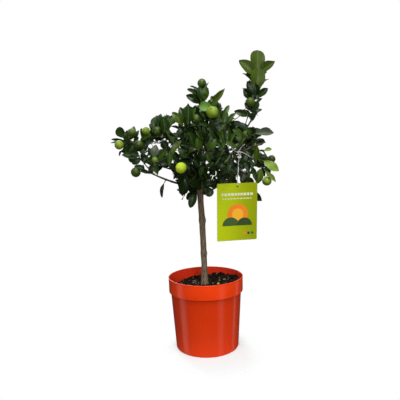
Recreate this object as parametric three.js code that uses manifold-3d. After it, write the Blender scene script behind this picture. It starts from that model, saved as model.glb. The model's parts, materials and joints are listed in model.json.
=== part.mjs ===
// A young kumquat tree on a bare stem, in a plastic growers' pot, with a card label tied to a bough.
// Millimetres, +Z up. The origin is the centre of the pot's flat underside, and -Y is the tree's front.
import * as THREE from 'three';
import { mergeVertices } from 'three/addons/utils/BufferGeometryUtils.js';
import Module from 'manifold-3d';

const wasm = await Module();
wasm.setup();

// Driving dimensions.

const CLEARANCE = 0.3;

const pot = {
  rimRadius: 100,
  height: 190,
  wall: 2.4,
  bandRadius: 99,
  bandDepth: 40,
  bandSlope: 6,
  neckRadius: 94.3,
  footRadius: 84,
  facets: 36,
  drains: 4,
  drainRadius: 5,
  drainCircle: 56,
};

const soil = {
  level: 166,
  padRadius: 15,
  rise: 9,
  bankAngle: 0.75,
  lumpHeight: 5,
  lumpsAcross: 0.17,
  lumpsAround: 5,
  lumpTwist: 3,
  settle: 2.5,
  rings: 3,
};

// The trunk's sideways place at shares of its height, and its thickness.
const trunk = {
  forkHeight: 446,
  lean: [
    { share: 0.0, x: -3.3, y: 0 },
    { share: 0.18, x: -2.4, y: 1 },
    { share: 0.36, x: -3.2, y: 2 },
    { share: 0.6, x: -4.4, y: 1 },
    { share: 0.82, x: -7.2, y: -1 },
    { share: 1.0, x: -8.5, y: -2 },
  ],
  radius: 8.1,
  flareRadius: 11,
  flareHeight: 16,
  forkRadius: 8.6,
  endShare: 0.82,
  knots: [{ share: 0.3, swell: 0.7 }, { share: 0.62, swell: 1.1 }],
  knotLength: 0.03,
  sides: 10,
  steps: 12,
};

// Each bough: the limb that it leaves, how far along that limb, its tip, its radii at both ends, and
// how far it bows up at its middle.
const boughs = [
  { name: 'bough_centre', from: 'trunk', at: 0.995,
    tip: [-2, 5, 612], radii: [5.2, 2.4], bow: 8 },
  { name: 'bough_left', from: 'trunk', at: 0.985,
    tip: [-99, 5, 550], radii: [4.4, 2.2], bow: -10 },
  { name: 'bough_right', from: 'trunk', at: 0.985,
    tip: [112, 10, 546], radii: [4.8, 2.6], bow: -12 },
  { name: 'bough_front', from: 'trunk', at: 0.975,
    tip: [9, -84, 506], radii: [4.0, 2.4], bow: -6 },
  { name: 'bough_back', from: 'trunk', at: 0.97,
    tip: [4, 84, 524], radii: [4.2, 2.6], bow: -8 },
  { name: 'bough_left_low', from: 'trunk', at: 0.93,
    tip: [-143, -26, 475], radii: [3.4, 2.0], bow: -14 },
  { name: 'bough_right_low', from: 'trunk', at: 0.93,
    tip: [84, -6, 466], radii: [3.4, 2.2], bow: -3 },
  { name: 'bough_left_riser', from: 'bough_left_low', at: 0.86,
    tip: [-166, -14, 515], radii: [1.8, 1.5], bow: -4 },
  { name: 'bough_left_spur', from: 'bough_left_low', at: 0.6,
    tip: [-97, -24, 448], radii: [1.3, 1.1], bow: 2 },
  { name: 'bough_front_left', from: 'bough_left', at: 0.3,
    tip: [-98, -60, 484], radii: [3.0, 1.9], bow: -5 },
  { name: 'bough_crown_left', from: 'bough_centre', at: 0.4,
    tip: [-38, -32, 578], radii: [2.8, 1.9], bow: 2 },
  { name: 'bough_crown_front', from: 'bough_front', at: 0.6,
    tip: [26, -66, 578], radii: [2.4, 1.8], bow: -4 },
  { name: 'bough_front_rise', from: 'bough_front', at: 0.45,
    tip: [-22, -62, 530], radii: [2.3, 1.8], bow: -3 },
  { name: 'bough_crown_right', from: 'bough_right', at: 0.42,
    tip: [62, -28, 578], radii: [2.7, 1.9], bow: 4 },
  { name: 'bough_right_front', from: 'bough_right', at: 0.36,
    tip: [116, -66, 524], radii: [2.6, 1.9], bow: -3 },
  { name: 'bough_leader', from: 'bough_right', at: 0.84,
    tip: [135, 8, 604], radii: [2.6, 2.0], bow: 5 },
  { name: 'bough_leader_side', from: 'bough_leader', at: 0.2,
    tip: [123, 1, 608], radii: [1.7, 1.4], bow: 2 },
  { name: 'bough_right_far', from: 'bough_right', at: 0.78,
    tip: [150, 2, 521], radii: [1.9, 1.5], bow: 6 },
  { name: 'bough_back_left', from: 'bough_back', at: 0.35,
    tip: [-84, 96, 534], radii: [3.1, 2.0], bow: -6 },
  { name: 'bough_back_right', from: 'bough_back', at: 0.5,
    tip: [86, 92, 532], radii: [2.9, 1.9], bow: -6 },
  { name: 'bough_back_top', from: 'bough_back', at: 0.72,
    tip: [22, 52, 596], radii: [2.4, 1.8], bow: 5 },
  { name: 'bough_low_front', from: 'bough_front', at: 0.3,
    tip: [-10, -52, 452], radii: [2.2, 1.7], bow: 2 },
  { name: 'bough_low_left', from: 'bough_left_low', at: 0.26,
    tip: [-50, -36, 450], radii: [2.2, 1.7], bow: 2 },
  { name: 'bough_low_right', from: 'bough_right_low', at: 0.3,
    tip: [32, -34, 455], radii: [2.2, 1.7], bow: 2 },
  { name: 'bough_low_back', from: 'bough_back', at: 0.3,
    tip: [-8, 52, 458], radii: [2.2, 1.7], bow: 2 },
];

const boughSides = 4;
const boughSteps = 3;

// Each mass: the bough whose tip carries it, the tip of its own stem, its side shoots and how far they
// spread, the leaves on each shoot and their length, and how far it may reach from its stem. Fruit are
// places and diameters, and marked leaves, which show in the outline, are the places of their tips. One
// mass's marked leaf hangs edge-on to the front.
const masses = [
  {
    name: 'mass_leader', on: 'bough_leader', tip: [149, 9, 736],
    shoots: 0, spread: 0, leaves: 14, length: 36, reach: 62, seed: 8,
    fruit: [[129, -8, 645, 26]],
    marked: [[153, 10, 781], [104, 0, 752], [196, 14, 750], [180, 10, 682], [111, -4, 720], [112, 0, 690]],
  },
  {
    name: 'mass_leader_side', on: 'bough_leader_side', tip: [112, -4, 628],
    shoots: 0, spread: 0, leaves: 4, length: 34, reach: 50, seed: 8,
    fruit: [], marked: [[87, -10, 622]],
  },
  {
    name: 'mass_top', on: 'bough_centre', tip: [4, -10, 676],
    shoots: 1, spread: 36, leaves: 6, length: 38, reach: 60, seed: 11,
    fruit: [[5, -22, 694, 23]], marked: [[-28, -15, 686], [-36, -20, 668], [28, -8, 698]],
  },
  {
    name: 'mass_crown_front', on: 'bough_crown_front', tip: [36, -68, 628],
    shoots: 2, spread: 46, leaves: 7, length: 44, reach: 70, seed: 1,
    fruit: [[27, -84, 611, 31]], marked: [[63, -60, 673], [-4, -76, 628]],
  },
  {
    name: 'mass_crown_left', on: 'bough_crown_left', tip: [-36, -42, 610],
    shoots: 2, spread: 44, leaves: 7, length: 44, reach: 66, seed: 1,
    fruit: [[-12, -62, 599, 25]], marked: [[-72, -40, 618], [-31, -40, 640]],
  },
  {
    name: 'mass_crown_right', on: 'bough_crown_right', tip: [68, -34, 612],
    shoots: 2, spread: 44, leaves: 7, length: 44, reach: 66, seed: 10,
    fruit: [], marked: [[75, -34, 638], [90, -30, 618]],
  },
  {
    name: 'mass_left_tip', on: 'bough_left_riser', tip: [-190, -14, 560],
    shoots: 2, spread: 38, leaves: 6, length: 38, reach: 60, seed: 8,
    fruit: [[-212, -25, 544, 24], [-160, -30, 542, 24], [-178, -25, 573, 25]],
    marked: [[-236, -20, 553], [-218, -10, 591], [-206, -20, 522]],
  },
  {
    name: 'mass_left_low', on: 'bough_left_low', tip: [-164, -34, 482],
    shoots: 0, spread: 0, leaves: 4, length: 36, reach: 45, seed: 2,
    fruit: [[-171, -32, 473, 26]], marked: [],
  },
  {
    name: 'mass_left_spur', on: 'bough_left_spur', tip: [-99, -24, 443],
    shoots: 0, spread: 0, leaves: 0, length: 40, reach: 50, seed: 2,
    fruit: [], marked: [[-107, -20, 406]], edgeOn: true,
  },
  {
    name: 'mass_left_upper', on: 'bough_left', tip: [-108, -2, 588],
    shoots: 2, spread: 44, leaves: 7, length: 44, reach: 66, seed: 2,
    fruit: [[-143, -15, 578, 22], [-114, -20, 577, 26]], marked: [[-114, 0, 620]],
  },
  {
    name: 'mass_front_left', on: 'bough_front_left', tip: [-108, -80, 508],
    shoots: 2, spread: 44, leaves: 7, length: 44, reach: 70, seed: 6,
    fruit: [[-51, -110, 480, 27], [-115, -90, 501, 15]], marked: [[-50, -96, 544]],
  },
  {
    name: 'mass_front', on: 'bough_front', tip: [8, -122, 540],
    shoots: 3, spread: 52, leaves: 7, length: 45, reach: 80, seed: 7,
    fruit: [], marked: [],
  },
  {
    name: 'mass_centre', on: 'bough_front_rise', tip: [-32, -86, 560],
    shoots: 2, spread: 44, leaves: 6, length: 44, reach: 66, seed: 8,
    fruit: [], marked: [],
  },
  {
    name: 'mass_right', on: 'bough_right', tip: [130, 4, 562],
    shoots: 2, spread: 36, leaves: 5, length: 42, reach: 56, seed: 3,
    fruit: [[115, -20, 560, 22]], marked: [[187, -8, 568], [173, 20, 540]],
  },
  {
    name: 'mass_right_front', on: 'bough_right_front', tip: [124, -88, 530],
    shoots: 2, spread: 38, leaves: 6, length: 42, reach: 62, seed: 8,
    fruit: [], marked: [],
  },
  {
    name: 'mass_right_tip', on: 'bough_right_far', tip: [172, 4, 466],
    shoots: 1, spread: 22, leaves: 3, length: 34, reach: 40, seed: 7,
    fruit: [[187, 20, 497, 21], [169, -5, 439, 25]],
    marked: [[200, -12, 467], [142, -14, 433], [196, 10, 438]],
  },
  {
    name: 'mass_right_low', on: 'bough_right_low', tip: [104, -2, 462],
    shoots: 2, spread: 42, leaves: 6, length: 44, reach: 66, seed: 6,
    fruit: [], marked: [],
  },
  {
    name: 'mass_back_left', on: 'bough_back_left', tip: [-124, 106, 566],
    shoots: 3, spread: 52, leaves: 4, length: 45, reach: 80, seed: 2,
    fruit: [[-128, 150, 552, 26]], marked: [],
  },
  {
    name: 'mass_back', on: 'bough_back', tip: [-4, 132, 552],
    shoots: 3, spread: 54, leaves: 5, length: 45, reach: 85, seed: 6,
    fruit: [[22, 168, 536, 28]], marked: [],
  },
  {
    name: 'mass_back_right', on: 'bough_back_right', tip: [122, 106, 558],
    shoots: 3, spread: 50, leaves: 4, length: 45, reach: 80, seed: 3,
    fruit: [[150, 118, 534, 25]], marked: [],
  },
  {
    name: 'mass_back_top', on: 'bough_back_top', tip: [28, 62, 630],
    shoots: 2, spread: 44, leaves: 5, length: 44, reach: 70, seed: 5,
    fruit: [[60, 84, 624, 25]], marked: [],
  },
  {
    name: 'mass_low_front', on: 'bough_low_front', tip: [-6, -98, 462],
    shoots: 2, spread: 42, leaves: 6, length: 42, reach: 62, seed: 2,
    fruit: [], marked: [],
  },
  {
    name: 'mass_low_left', on: 'bough_low_left', tip: [-44, -50, 424],
    shoots: 1, spread: 30, leaves: 5, length: 38, reach: 48, seed: 11,
    fruit: [], marked: [[-35, -35, 380]],
  },
  {
    name: 'mass_low_right', on: 'bough_low_right', tip: [40, -44, 450],
    shoots: 1, spread: 30, leaves: 5, length: 40, reach: 50, seed: 10,
    fruit: [], marked: [[21, -34, 411]],
  },
  {
    name: 'mass_low_back', on: 'bough_low_back', tip: [-10, 96, 452],
    shoots: 2, spread: 42, leaves: 5, length: 44, reach: 70, seed: 5,
    fruit: [], marked: [],
  },
];

// A blade is widest past its middle. The leaves at a shoot's foot stand out from it, and those near its
// tip lean forward, crowd and are a little shorter. A marked leaf turns its face partly to the front.
const leaf = {
  widthShare: 0.66,
  widest: 0.6,
  stalkRadius: 0.3,
  crown: 1.1,
  rootOut: 0.2,
  footAngle: 74,
  tipAngle: 30,
  angleSpread: 10,
  lengthSpread: 0.16,
  tipShorter: 0.12,
  crowding: 0.8,
  wander: 0.4,
  lift: 0.2,
  faceLift: 0.35,
  roll: 0.35,
  markedTurn: 1.2,
};

// Turns about its twig that a crowded leaf tries before it is given up, and the volume by which leaves
// of one mass may cross where they touch.
const secondTries = [0, 0.45, -0.45, 0.9, -0.9];
const leafOverlap = 0.25;

// A mass's stem and its side shoots: their radii and steps, the bare share at their feet, where the
// shoots stand along the stem, and how far they go out, forward and up.
const twig = {
  stemRadius: 1.8,
  shootRadius: 1.3,
  tipRadius: 1.1,
  stalkRadius: 0.8,
  stemSteps: 3,
  shootSteps: 2,
  stemBare: 0.25,
  shootBare: 0.35,
  leafyEnd: 0.99,
  extraStemLeaves: 2,
  firstShoot: 0.2,
  shootStretch: 0.65,
  lowestLength: 1.1,
  shorterUpStem: 0.3,
  lengthSpread: 0.15,
  out: 0.85,
  forward: 0.35,
  rise: 0.2,
  startForward: 0.3,
};

// Each thing that varies has a draw of its own.
const drawFor = { wander: 1, angle: 2, length: 3, roll: 4, firstShoot: 7, shootLength: 8, firstLeaf: 99 };

const fruitFacets = 8;
const goldenAngle = THREE.MathUtils.degToRad(137.5);
const fullTurn = 2 * Math.PI;

// The card label hangs from its tie, a little turned and with its foot swung back.
const label = {
  width: 105,
  height: 148,
  thickness: 0.8,
  corner: 2.5,
  holeRadius: 2.6,
  holeDrop: 8,
  top: [86.1, -58, 438],
  turn: THREE.MathUtils.degToRad(10.6),
  swing: THREE.MathUtils.degToRad(5.7),
};

// The tie lies round its bough from one side to the other, and stands off both faces of the card.
const tie = {
  bough: 'bough_right_front',
  at: 0.72,
  radius: 0.6,
  sides: 5,
  gap: 0.55,
  wrapFrom: -0.35,
  wrapTo: 3.49,
  wrapSteps: 6,
  overEdge: 4,
  aboveHole: 3,
  pinch: 0.8,
};

// Spaces that no leaf enters, since the label and its tie hang in the open: low and high corners.
const keptOpen = [
  new THREE.Box3(new THREE.Vector3(30, -220, 280), new THREE.Vector3(145, -14, 438)),
  new THREE.Box3(new THREE.Vector3(84, -220, 436), new THREE.Vector3(98, -40, 500)),
];

const up = new THREE.Vector3(0, 0, 1);
const front = new THREE.Vector3(0, -1, 0);
const vec = ([x, y, z]) => new THREE.Vector3(x, y, z);

// A repeatable number from 0 to 1 for some whole numbers, so that every leaf has draws of its own. The
// start and the two odd factors are those of common integer hashes.
const hashing = { start: 2166136261, step: 16777619, mix: 2246822519, range: 2 ** 32 };

function draw(...keys) {
  let hash = hashing.start;
  for (const key of keys) {
    hash = Math.imul(hash ^ (key + 1), hashing.step);
    hash = Math.imul(hash ^ (hash >>> 15), hashing.mix);
    hash ^= hash >>> 13;
  }
  return (hash >>> 0) / hashing.range;
}

const evenDraw = (...keys) => 2 * draw(...keys) - 1;

// Solids from geometry, and geometry back from solids.

function solidOf(geometry) {
  const bare = geometry.clone();
  bare.deleteAttribute('normal');
  bare.deleteAttribute('uv');
  const merged = mergeVertices(bare, 1e-4);
  return new wasm.Manifold(new wasm.Mesh({
    numProp: 3,
    vertProperties: merged.attributes.position.array,
    triVerts: new Uint32Array(merged.index.array),
  }));
}

function closedSolid(points, faces) {
  const positions = new Float32Array(points.flatMap((p) => [p.x, p.y, p.z]));
  return solidOf(new THREE.BufferGeometry()
    .setAttribute('position', new THREE.BufferAttribute(positions, 3))
    .setIndex(faces.flat()));
}

function geometryOf(solid) {
  const mesh = solid.getMesh();
  const geometry = new THREE.BufferGeometry()
    .setAttribute('position', new THREE.BufferAttribute(mesh.vertProperties, 3))
    .setIndex(new THREE.BufferAttribute(mesh.triVerts, 1));
  geometry.computeVertexNormals();
  return geometry;
}

// The largest piece alone: a loose scrap is dropped, and a sealed hollow is filled.
function largest(solid) {
  return solid.decompose().reduce((a, b) => (b.volume() > a.volume() ? b : a));
}

const root = new THREE.Group();
root.name = 'potted_kumquat_tree';

function addNode(name, solid, colour, roughness) {
  const material = new THREE.MeshStandardMaterial({ color: colour, roughness, metalness: 0 });
  const mesh = new THREE.Mesh(geometryOf(solid), material);
  mesh.name = name;
  root.add(mesh);
}

// Paths are rows of points. A limb is a row of rings along its path, with a flat end at each side.

function pointAlong(path, share) {
  const lengths = path.slice(1).map((p, i) => p.distanceTo(path[i]));
  let rest = share * lengths.reduce((sum, length) => sum + length, 0);
  let i = 0;
  while (i < lengths.length - 1 && rest > lengths[i]) {
    rest -= lengths[i];
    i += 1;
  }
  const axis = path[i + 1].clone().sub(path[i]).normalize();
  return { point: path[i].clone().addScaledVector(axis, rest), axis };
}

// A path from start to tip that leaves along heading, with its middle raised by bow.
function bowedPath(start, tip, heading, bow, steps) {
  const half = 0.5 * start.distanceTo(tip);
  const middle = start.clone().addScaledVector(heading, half).addScaledVector(up, bow);
  return new THREE.QuadraticBezierCurve3(start, middle, tip).getPoints(steps);
}

function taper(from, to, steps) {
  return Array.from({ length: steps + 1 }, (_, i) => from + ((to - from) * i) / steps);
}

function ringFrames(path, closed) {
  const frames = [];
  let side = null;
  const count = path.length;
  path.forEach((point, i) => {
    const before = path[closed ? (i + count - 1) % count : Math.max(i - 1, 0)];
    const after = path[closed ? (i + 1) % count : Math.min(i + 1, count - 1)];
    const along = after.clone().sub(before).normalize();
    if (!side) side = Math.abs(along.z) < 0.9 ? up.clone() : new THREE.Vector3(1, 0, 0);
    side.addScaledVector(along, -side.dot(along)).normalize();
    frames.push({ point: point.clone(), along, side: side.clone(), other: along.clone().cross(side) });
  });
  return frames;
}

function ringPoints(frames, radii, sides) {
  return frames.flatMap(({ point, side, other }, ring) => Array.from({ length: sides }, (_, k) => {
    const angle = (fullTurn * k) / sides;
    return point.clone()
      .addScaledVector(side, radii[ring] * Math.cos(angle))
      .addScaledVector(other, radii[ring] * Math.sin(angle));
  }));
}

function ringFaces(rings, sides, closed) {
  const faces = [];
  const bands = closed ? rings : rings - 1;
  for (let ring = 0; ring < bands; ring += 1) {
    const next = ((ring + 1) % rings) * sides;
    for (let k = 0; k < sides; k += 1) {
      const a = ring * sides + k;
      const b = ring * sides + ((k + 1) % sides);
      faces.push([a, b, next + ((k + 1) % sides)], [a, next + ((k + 1) % sides), next + k]);
    }
  }
  return faces;
}

function limbSolid(path, radii, sides, grow = 0) {
  const frames = ringFrames(path, false);
  const last = frames.length - 1;
  frames[0].point.addScaledVector(frames[0].along, -grow);
  frames[last].point.addScaledVector(frames[last].along, grow);
  const faces = ringFaces(frames.length, sides, false);
  for (let k = 1; k < sides - 1; k += 1) {
    faces.push([0, k + 1, k], [last * sides, last * sides + k, last * sides + k + 1]);
  }
  const outward = grow / Math.cos(Math.PI / sides);
  return closedSolid(ringPoints(frames, radii.map((radius) => radius + outward), sides), faces);
}

// Everything that stands already: a new twig or leaf has to stay clear of it.
const placed = [];

function boxOf(solid) {
  const { min, max } = solid.boundingBox();
  return new THREE.Box3(vec(min), vec(max));
}

function place(node, kind, solid) {
  placed.push({ node, kind, solid, box: boxOf(solid).expandByScalar(CLEARANCE) });
}

// Leaves of one mass may touch a little where they crowd, and none enters another node's space.
function clashes(node, solid) {
  const box = boxOf(solid);
  if (keptOpen.some((space) => space.intersectsBox(box))) return true;
  return placed.some((other) => {
    if (!box.intersectsBox(other.box)) return false;
    if (other.node !== node) return solid.minGap(other.solid, 2 * CLEARANCE) < CLEARANCE;
    return other.kind !== 'twig' && solid.intersect(other.solid).volume() > leafOverlap;
  });
}

// The pot: one moulded wall with a deep band at the rim, turned about the axis, and drained below.

const innerWall = [
  [pot.rimRadius - pot.wall, pot.height],
  [pot.bandRadius - pot.wall, pot.height - pot.bandDepth + pot.bandSlope],
  [pot.neckRadius - pot.wall, pot.height - pot.bandDepth],
  [pot.footRadius - pot.wall, pot.wall],
];

function makePot() {
  const outline = [
    [0, 0],
    [pot.footRadius, 0],
    [pot.neckRadius, pot.height - pot.bandDepth],
    [pot.bandRadius, pot.height - pot.bandDepth + pot.bandSlope],
    [pot.rimRadius, pot.height],
    ...innerWall,
    [0, pot.wall],
  ].map(([x, y]) => new THREE.Vector2(x, y));
  const turned = new THREE.LatheGeometry(outline, pot.facets).rotateX(Math.PI / 2);
  let wall = solidOf(turned);
  for (let k = 0; k < pot.drains; k += 1) {
    const angle = (fullTurn * k) / pot.drains;
    const hole = new THREE.CylinderGeometry(pot.drainRadius, pot.drainRadius, 4 * pot.wall, 8)
      .rotateX(Math.PI / 2)
      .translate(pot.drainCircle * Math.cos(angle), pot.drainCircle * Math.sin(angle), 0);
    wall = wall.subtract(solidOf(hole));
  }
  return wall;
}

// The compost fills the pot to a lumpy top that is banked up at the back right, flat under the trunk.

function soilHeight(radius, angle) {
  if (radius <= soil.padRadius) return soil.level;
  const out = (radius - soil.padRadius) / (pot.bandRadius - soil.padRadius);
  const bank = soil.rise * out * Math.cos(angle - soil.bankAngle);
  const across = Math.sin(radius * soil.lumpsAcross + soil.lumpTwist * angle);
  const around = Math.cos(soil.lumpsAround * angle + 1);
  return soil.level + bank + soil.lumpHeight * across * around * Math.min(1, soil.settle * out);
}

function makeSoil() {
  const [, band, neck, foot] = innerWall.map(([radius, z]) => [radius - CLEARANCE, z]);
  const wallProfile = [[foot[0], foot[1] + CLEARANCE], [neck[0], neck[1] - CLEARANCE], band];
  const points = [new THREE.Vector3(0, 0, foot[1] + CLEARANCE)];
  const addRing = (radius, heightAt) => {
    for (let k = 0; k < pot.facets; k += 1) {
      const angle = (fullTurn * k) / pot.facets;
      points.push(new THREE.Vector3(radius * Math.sin(angle), -radius * Math.cos(angle), heightAt(angle)));
    }
  };
  wallProfile.forEach(([radius, z]) => addRing(radius, () => z));
  for (let ring = 0; ring < soil.rings; ring += 1) {
    const radius = band[0] + ((soil.padRadius - band[0]) * ring) / (soil.rings - 1);
    addRing(radius, (angle) => soilHeight(radius, angle - Math.PI / 2));
  }
  points.push(new THREE.Vector3(0, 0, soil.level));
  const rings = wallProfile.length + soil.rings;
  const faces = ringFaces(rings, pot.facets, false).map((face) => face.map((corner) => corner + 1));
  const top = 1 + (rings - 1) * pot.facets;
  for (let k = 0; k < pot.facets; k += 1) {
    const next = (k + 1) % pot.facets;
    faces.push([0, 1 + next, 1 + k], [points.length - 1, top + k, top + next]);
  }
  return closedSolid(points, faces);
}

// The trunk: a slightly crooked stem with a root flare, two old knots and a swelling at the fork.

const trunkFoot = soil.level + CLEARANCE;

function trunkPoint(share) {
  const next = Math.max(1, trunk.lean.findIndex((bend) => bend.share >= share));
  const [low, high] = [trunk.lean[next - 1], trunk.lean[next]];
  const blend = THREE.MathUtils.smoothstep(share, low.share, high.share);
  return new THREE.Vector3(
    low.x + (high.x - low.x) * blend,
    low.y + (high.y - low.y) * blend,
    trunkFoot + share * (trunk.forkHeight - trunkFoot),
  );
}

function trunkRadius(share) {
  const height = share * (trunk.forkHeight - trunkFoot);
  const flare = (trunk.flareRadius - trunk.radius) * Math.exp(-height / trunk.flareHeight);
  const fork = (trunk.forkRadius - trunk.radius) * share ** 4;
  const swellings = trunk.knots.map((knot) => {
    const off = (share - knot.share) / trunk.knotLength;
    return knot.swell * Math.exp(-(off ** 2));
  });
  return trunk.radius + flare + fork + swellings.reduce((sum, swelling) => sum + swelling);
}

// Limbs by name, each with its path and radii, for the boughs and masses that leave it.
const limbs = {};

function makeTrunk() {
  const shares = taper(0, 1, trunk.steps);
  const radii = shares.map(trunkRadius);
  radii[trunk.steps] *= trunk.endShare;
  limbs.trunk = { path: shares.map(trunkPoint), radii, sides: trunk.sides };
  return limbSolid(limbs.trunk.path, radii, trunk.sides);
}

// A bough starts inside the limb that it leaves, and is cut clear of every limb that stands already.
function makeBough({ name, from, at, tip, radii, bow }) {
  const start = pointAlong(limbs[from].path, at).point;
  const end = vec(tip);
  const path = bowedPath(start, end, end.clone().sub(start).normalize(), bow, boughSteps);
  const others = Object.values(limbs);
  limbs[name] = { path, radii: taper(radii[0], radii[1], boughSteps), sides: boughSides };
  const whole = limbSolid(path, limbs[name].radii, boughSides);
  return largest(others.reduce(
    (cut, other) => cut.subtract(limbSolid(other.path, other.radii, other.sides, CLEARANCE)),
    whole,
  ));
}

// A leaf is a thin blade on a short three-sided stalk: widest past its middle.
function leafSolid(start, direction, face, length) {
  const across = direction.clone().cross(face).normalize();
  const raised = across.clone().cross(direction).normalize();
  const half = 0.5 * length * leaf.widthShare;
  const at = (along, side, lift) => start.clone()
    .addScaledVector(direction, along * length)
    .addScaledVector(across, side)
    .addScaledVector(raised, lift);
  const points = [
    at(0, 0, -leaf.stalkRadius),
    at(0, leaf.stalkRadius, leaf.stalkRadius * 0.5),
    at(leaf.widest, half, leaf.crown),
    at(1, 0, 0),
    at(leaf.widest, -half, leaf.crown),
    at(0, -leaf.stalkRadius, leaf.stalkRadius * 0.5),
  ];
  return closedSolid(points, [
    [0, 1, 5], [0, 2, 1], [0, 3, 2], [0, 4, 3], [0, 5, 4],
    [1, 2, 5], [2, 4, 5], [2, 3, 4],
  ]);
}

function crossDirection(axis) {
  const side = Math.abs(axis.z) < 0.95 ? up.clone() : new THREE.Vector3(1, 0, 0);
  return side.addScaledVector(axis, -side.dot(axis)).normalize();
}

function growLeaf(mass, shoot, i) {
  const keys = [mass.seed, shoot.key, i];
  const share = shoot.leaves > 1 ? i / (shoot.leaves - 1) : 1;
  const along = shoot.bare + (twig.leafyEnd - shoot.bare) * share ** leaf.crowding;
  const { point, axis } = pointAlong(shoot.path, along);
  const azimuth = goldenAngle * i + fullTurn * draw(mass.seed, shoot.key, drawFor.firstLeaf)
    + leaf.wander * evenDraw(...keys, drawFor.wander);
  const angle = THREE.MathUtils.degToRad(leaf.footAngle + (leaf.tipAngle - leaf.footAngle) * share
    + leaf.angleSpread * evenDraw(...keys, drawFor.angle));
  const length = mass.length * (1 - leaf.tipShorter * share)
    * (1 + leaf.lengthSpread * evenDraw(...keys, drawFor.length));
  for (const turn of secondTries) {
    const outward = crossDirection(axis).applyAxisAngle(axis, azimuth + turn);
    const direction = axis.clone().multiplyScalar(Math.cos(angle))
      .addScaledVector(outward, Math.sin(angle))
      .addScaledVector(up, leaf.lift)
      .normalize();
    const face = axis.clone()
      .addScaledVector(up, leaf.faceLift)
      .applyAxisAngle(direction, leaf.roll * evenDraw(...keys, drawFor.roll));
    const root = point.clone().addScaledVector(outward, leaf.rootOut);
    const blade = leafSolid(root, direction, face, length);
    const tip = root.clone().addScaledVector(direction, length);
    const near = mass.line.closestPointToPoint(tip, true, new THREE.Vector3());
    if (near.distanceTo(tip) > mass.reach || clashes(mass.name, blade)) continue;
    place(mass.name, 'leaf', blade);
    mass.pieces.push(blade);
    return;
  }
}

// Where a fruit's stalk or a marked leaf can stand: the nearest of some points along the mass's shoots.
const stands = taper(0.4, 0.98, 12);

function nearestShootPoint(mass, target) {
  let best = null;
  for (const { path } of mass.shootList) {
    for (const share of stands) {
      const { point, axis } = pointAlong(path, share);
      if (!best || point.distanceTo(target) < best.point.distanceTo(target)) best = { point, axis };
    }
  }
  return best;
}

function growMarkedLeaf(mass, tip) {
  const target = vec(tip);
  const { point, axis } = nearestShootPoint(mass, target);
  const direction = target.clone().sub(point);
  const length = direction.length();
  const turn = mass.edgeOn ? 0 : leaf.markedTurn;
  const face = axis.clone().addScaledVector(up, leaf.faceLift).addScaledVector(front, turn);
  const blade = leafSolid(point, direction.normalize(), face, length);
  place(mass.name, 'leaf', blade);
  mass.pieces.push(blade);
}

// A fruit is a round solid on a stalk from the nearest point of its mass's shoots.
function growFruit(mass, [x, y, z, diameter]) {
  const centre = new THREE.Vector3(x, y, z);
  const ball = solidOf(new THREE.SphereGeometry(diameter / 2, fruitFacets, fruitFacets / 2)
    .rotateX(Math.PI / 2)
    .translate(x, y, z));
  const { point } = nearestShootPoint(mass, centre);
  const stalk = limbSolid([point, centre], taper(twig.stalkRadius, twig.stalkRadius, 1), 3);
  place(mass.name, 'fruit', ball);
  place(mass.name, 'twig', stalk);
  mass.pieces.push(ball, stalk);
}

// A side shoot leaves the stem at a wide angle and turns up towards the light.
function shootPath(mass, stem, j) {
  const along = twig.firstShoot + (twig.shootStretch * (j + 0.5)) / mass.shoots;
  const { point, axis } = pointAlong(stem, along);
  const turn = goldenAngle * j + fullTurn * draw(mass.seed, drawFor.firstShoot);
  const outward = crossDirection(axis).applyAxisAngle(axis, turn);
  const length = mass.spread * (twig.lowestLength - twig.shorterUpStem * along)
    * (1 + twig.lengthSpread * evenDraw(mass.seed, j, drawFor.shootLength));
  const end = point.clone()
    .addScaledVector(outward, length * twig.out)
    .addScaledVector(axis, length * twig.forward)
    .addScaledVector(up, length * twig.rise);
  const heading = outward.clone().addScaledVector(axis, twig.startForward).normalize();
  return bowedPath(point, end, heading, 0, twig.shootSteps);
}

// A mass's stem carries on from its bough's tip, and its side shoots stand round it a golden angle apart.
function growTwigs(mass) {
  const bough = limbs[mass.on];
  const { point: start, axis: heading } = pointAlong(bough.path, 1);
  const stem = bowedPath(start, vec(mass.tip), heading, 0, twig.stemSteps);
  const stemRadius = Math.min(twig.stemRadius, bough.radii[bough.radii.length - 1]);
  const whole = limbSolid(stem, taper(stemRadius, twig.tipRadius, twig.stemSteps), 4);
  mass.line = new THREE.Line3(start, vec(mass.tip));
  mass.pieces = [largest(whole.subtract(limbSolid(bough.path, bough.radii, boughSides, CLEARANCE)))];
  const stemLeaves = mass.leaves + (mass.shoots > 0 ? twig.extraStemLeaves : 0);
  mass.shootList = [{ path: stem, key: 0, leaves: stemLeaves, bare: twig.stemBare }];
  place(mass.name, 'twig', mass.pieces[0]);
  for (let j = 0; j < mass.shoots; j += 1) {
    const path = shootPath(mass, stem, j);
    const shoot = limbSolid(path, taper(twig.shootRadius, twig.tipRadius, twig.shootSteps), 3);
    if (clashes(mass.name, shoot)) continue;
    place(mass.name, 'twig', shoot);
    mass.shootList.push({ path, key: j + 1, leaves: mass.leaves, bare: twig.shootBare });
    mass.pieces.push(shoot);
  }
}

// All masses put out their twigs, then fruit, then leaves from the shoots' tips down, turn by turn.
function growCrown() {
  masses.forEach(growTwigs);
  masses.forEach((mass) => mass.fruit.forEach((spot) => growFruit(mass, spot)));
  masses.forEach((mass) => mass.marked.forEach((tip) => growMarkedLeaf(mass, tip)));
  const rounds = Math.max(...masses.flatMap((mass) => mass.shootList.map((shoot) => shoot.leaves)));
  for (let round = 1; round <= rounds; round += 1) {
    for (const mass of masses) {
      for (const shoot of mass.shootList) {
        if (round <= shoot.leaves) growLeaf(mass, shoot, shoot.leaves - round);
      }
    }
  }
}

// The label: a stiff card with round corners and a punched hole, hung by a thin tie over a bough.

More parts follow.
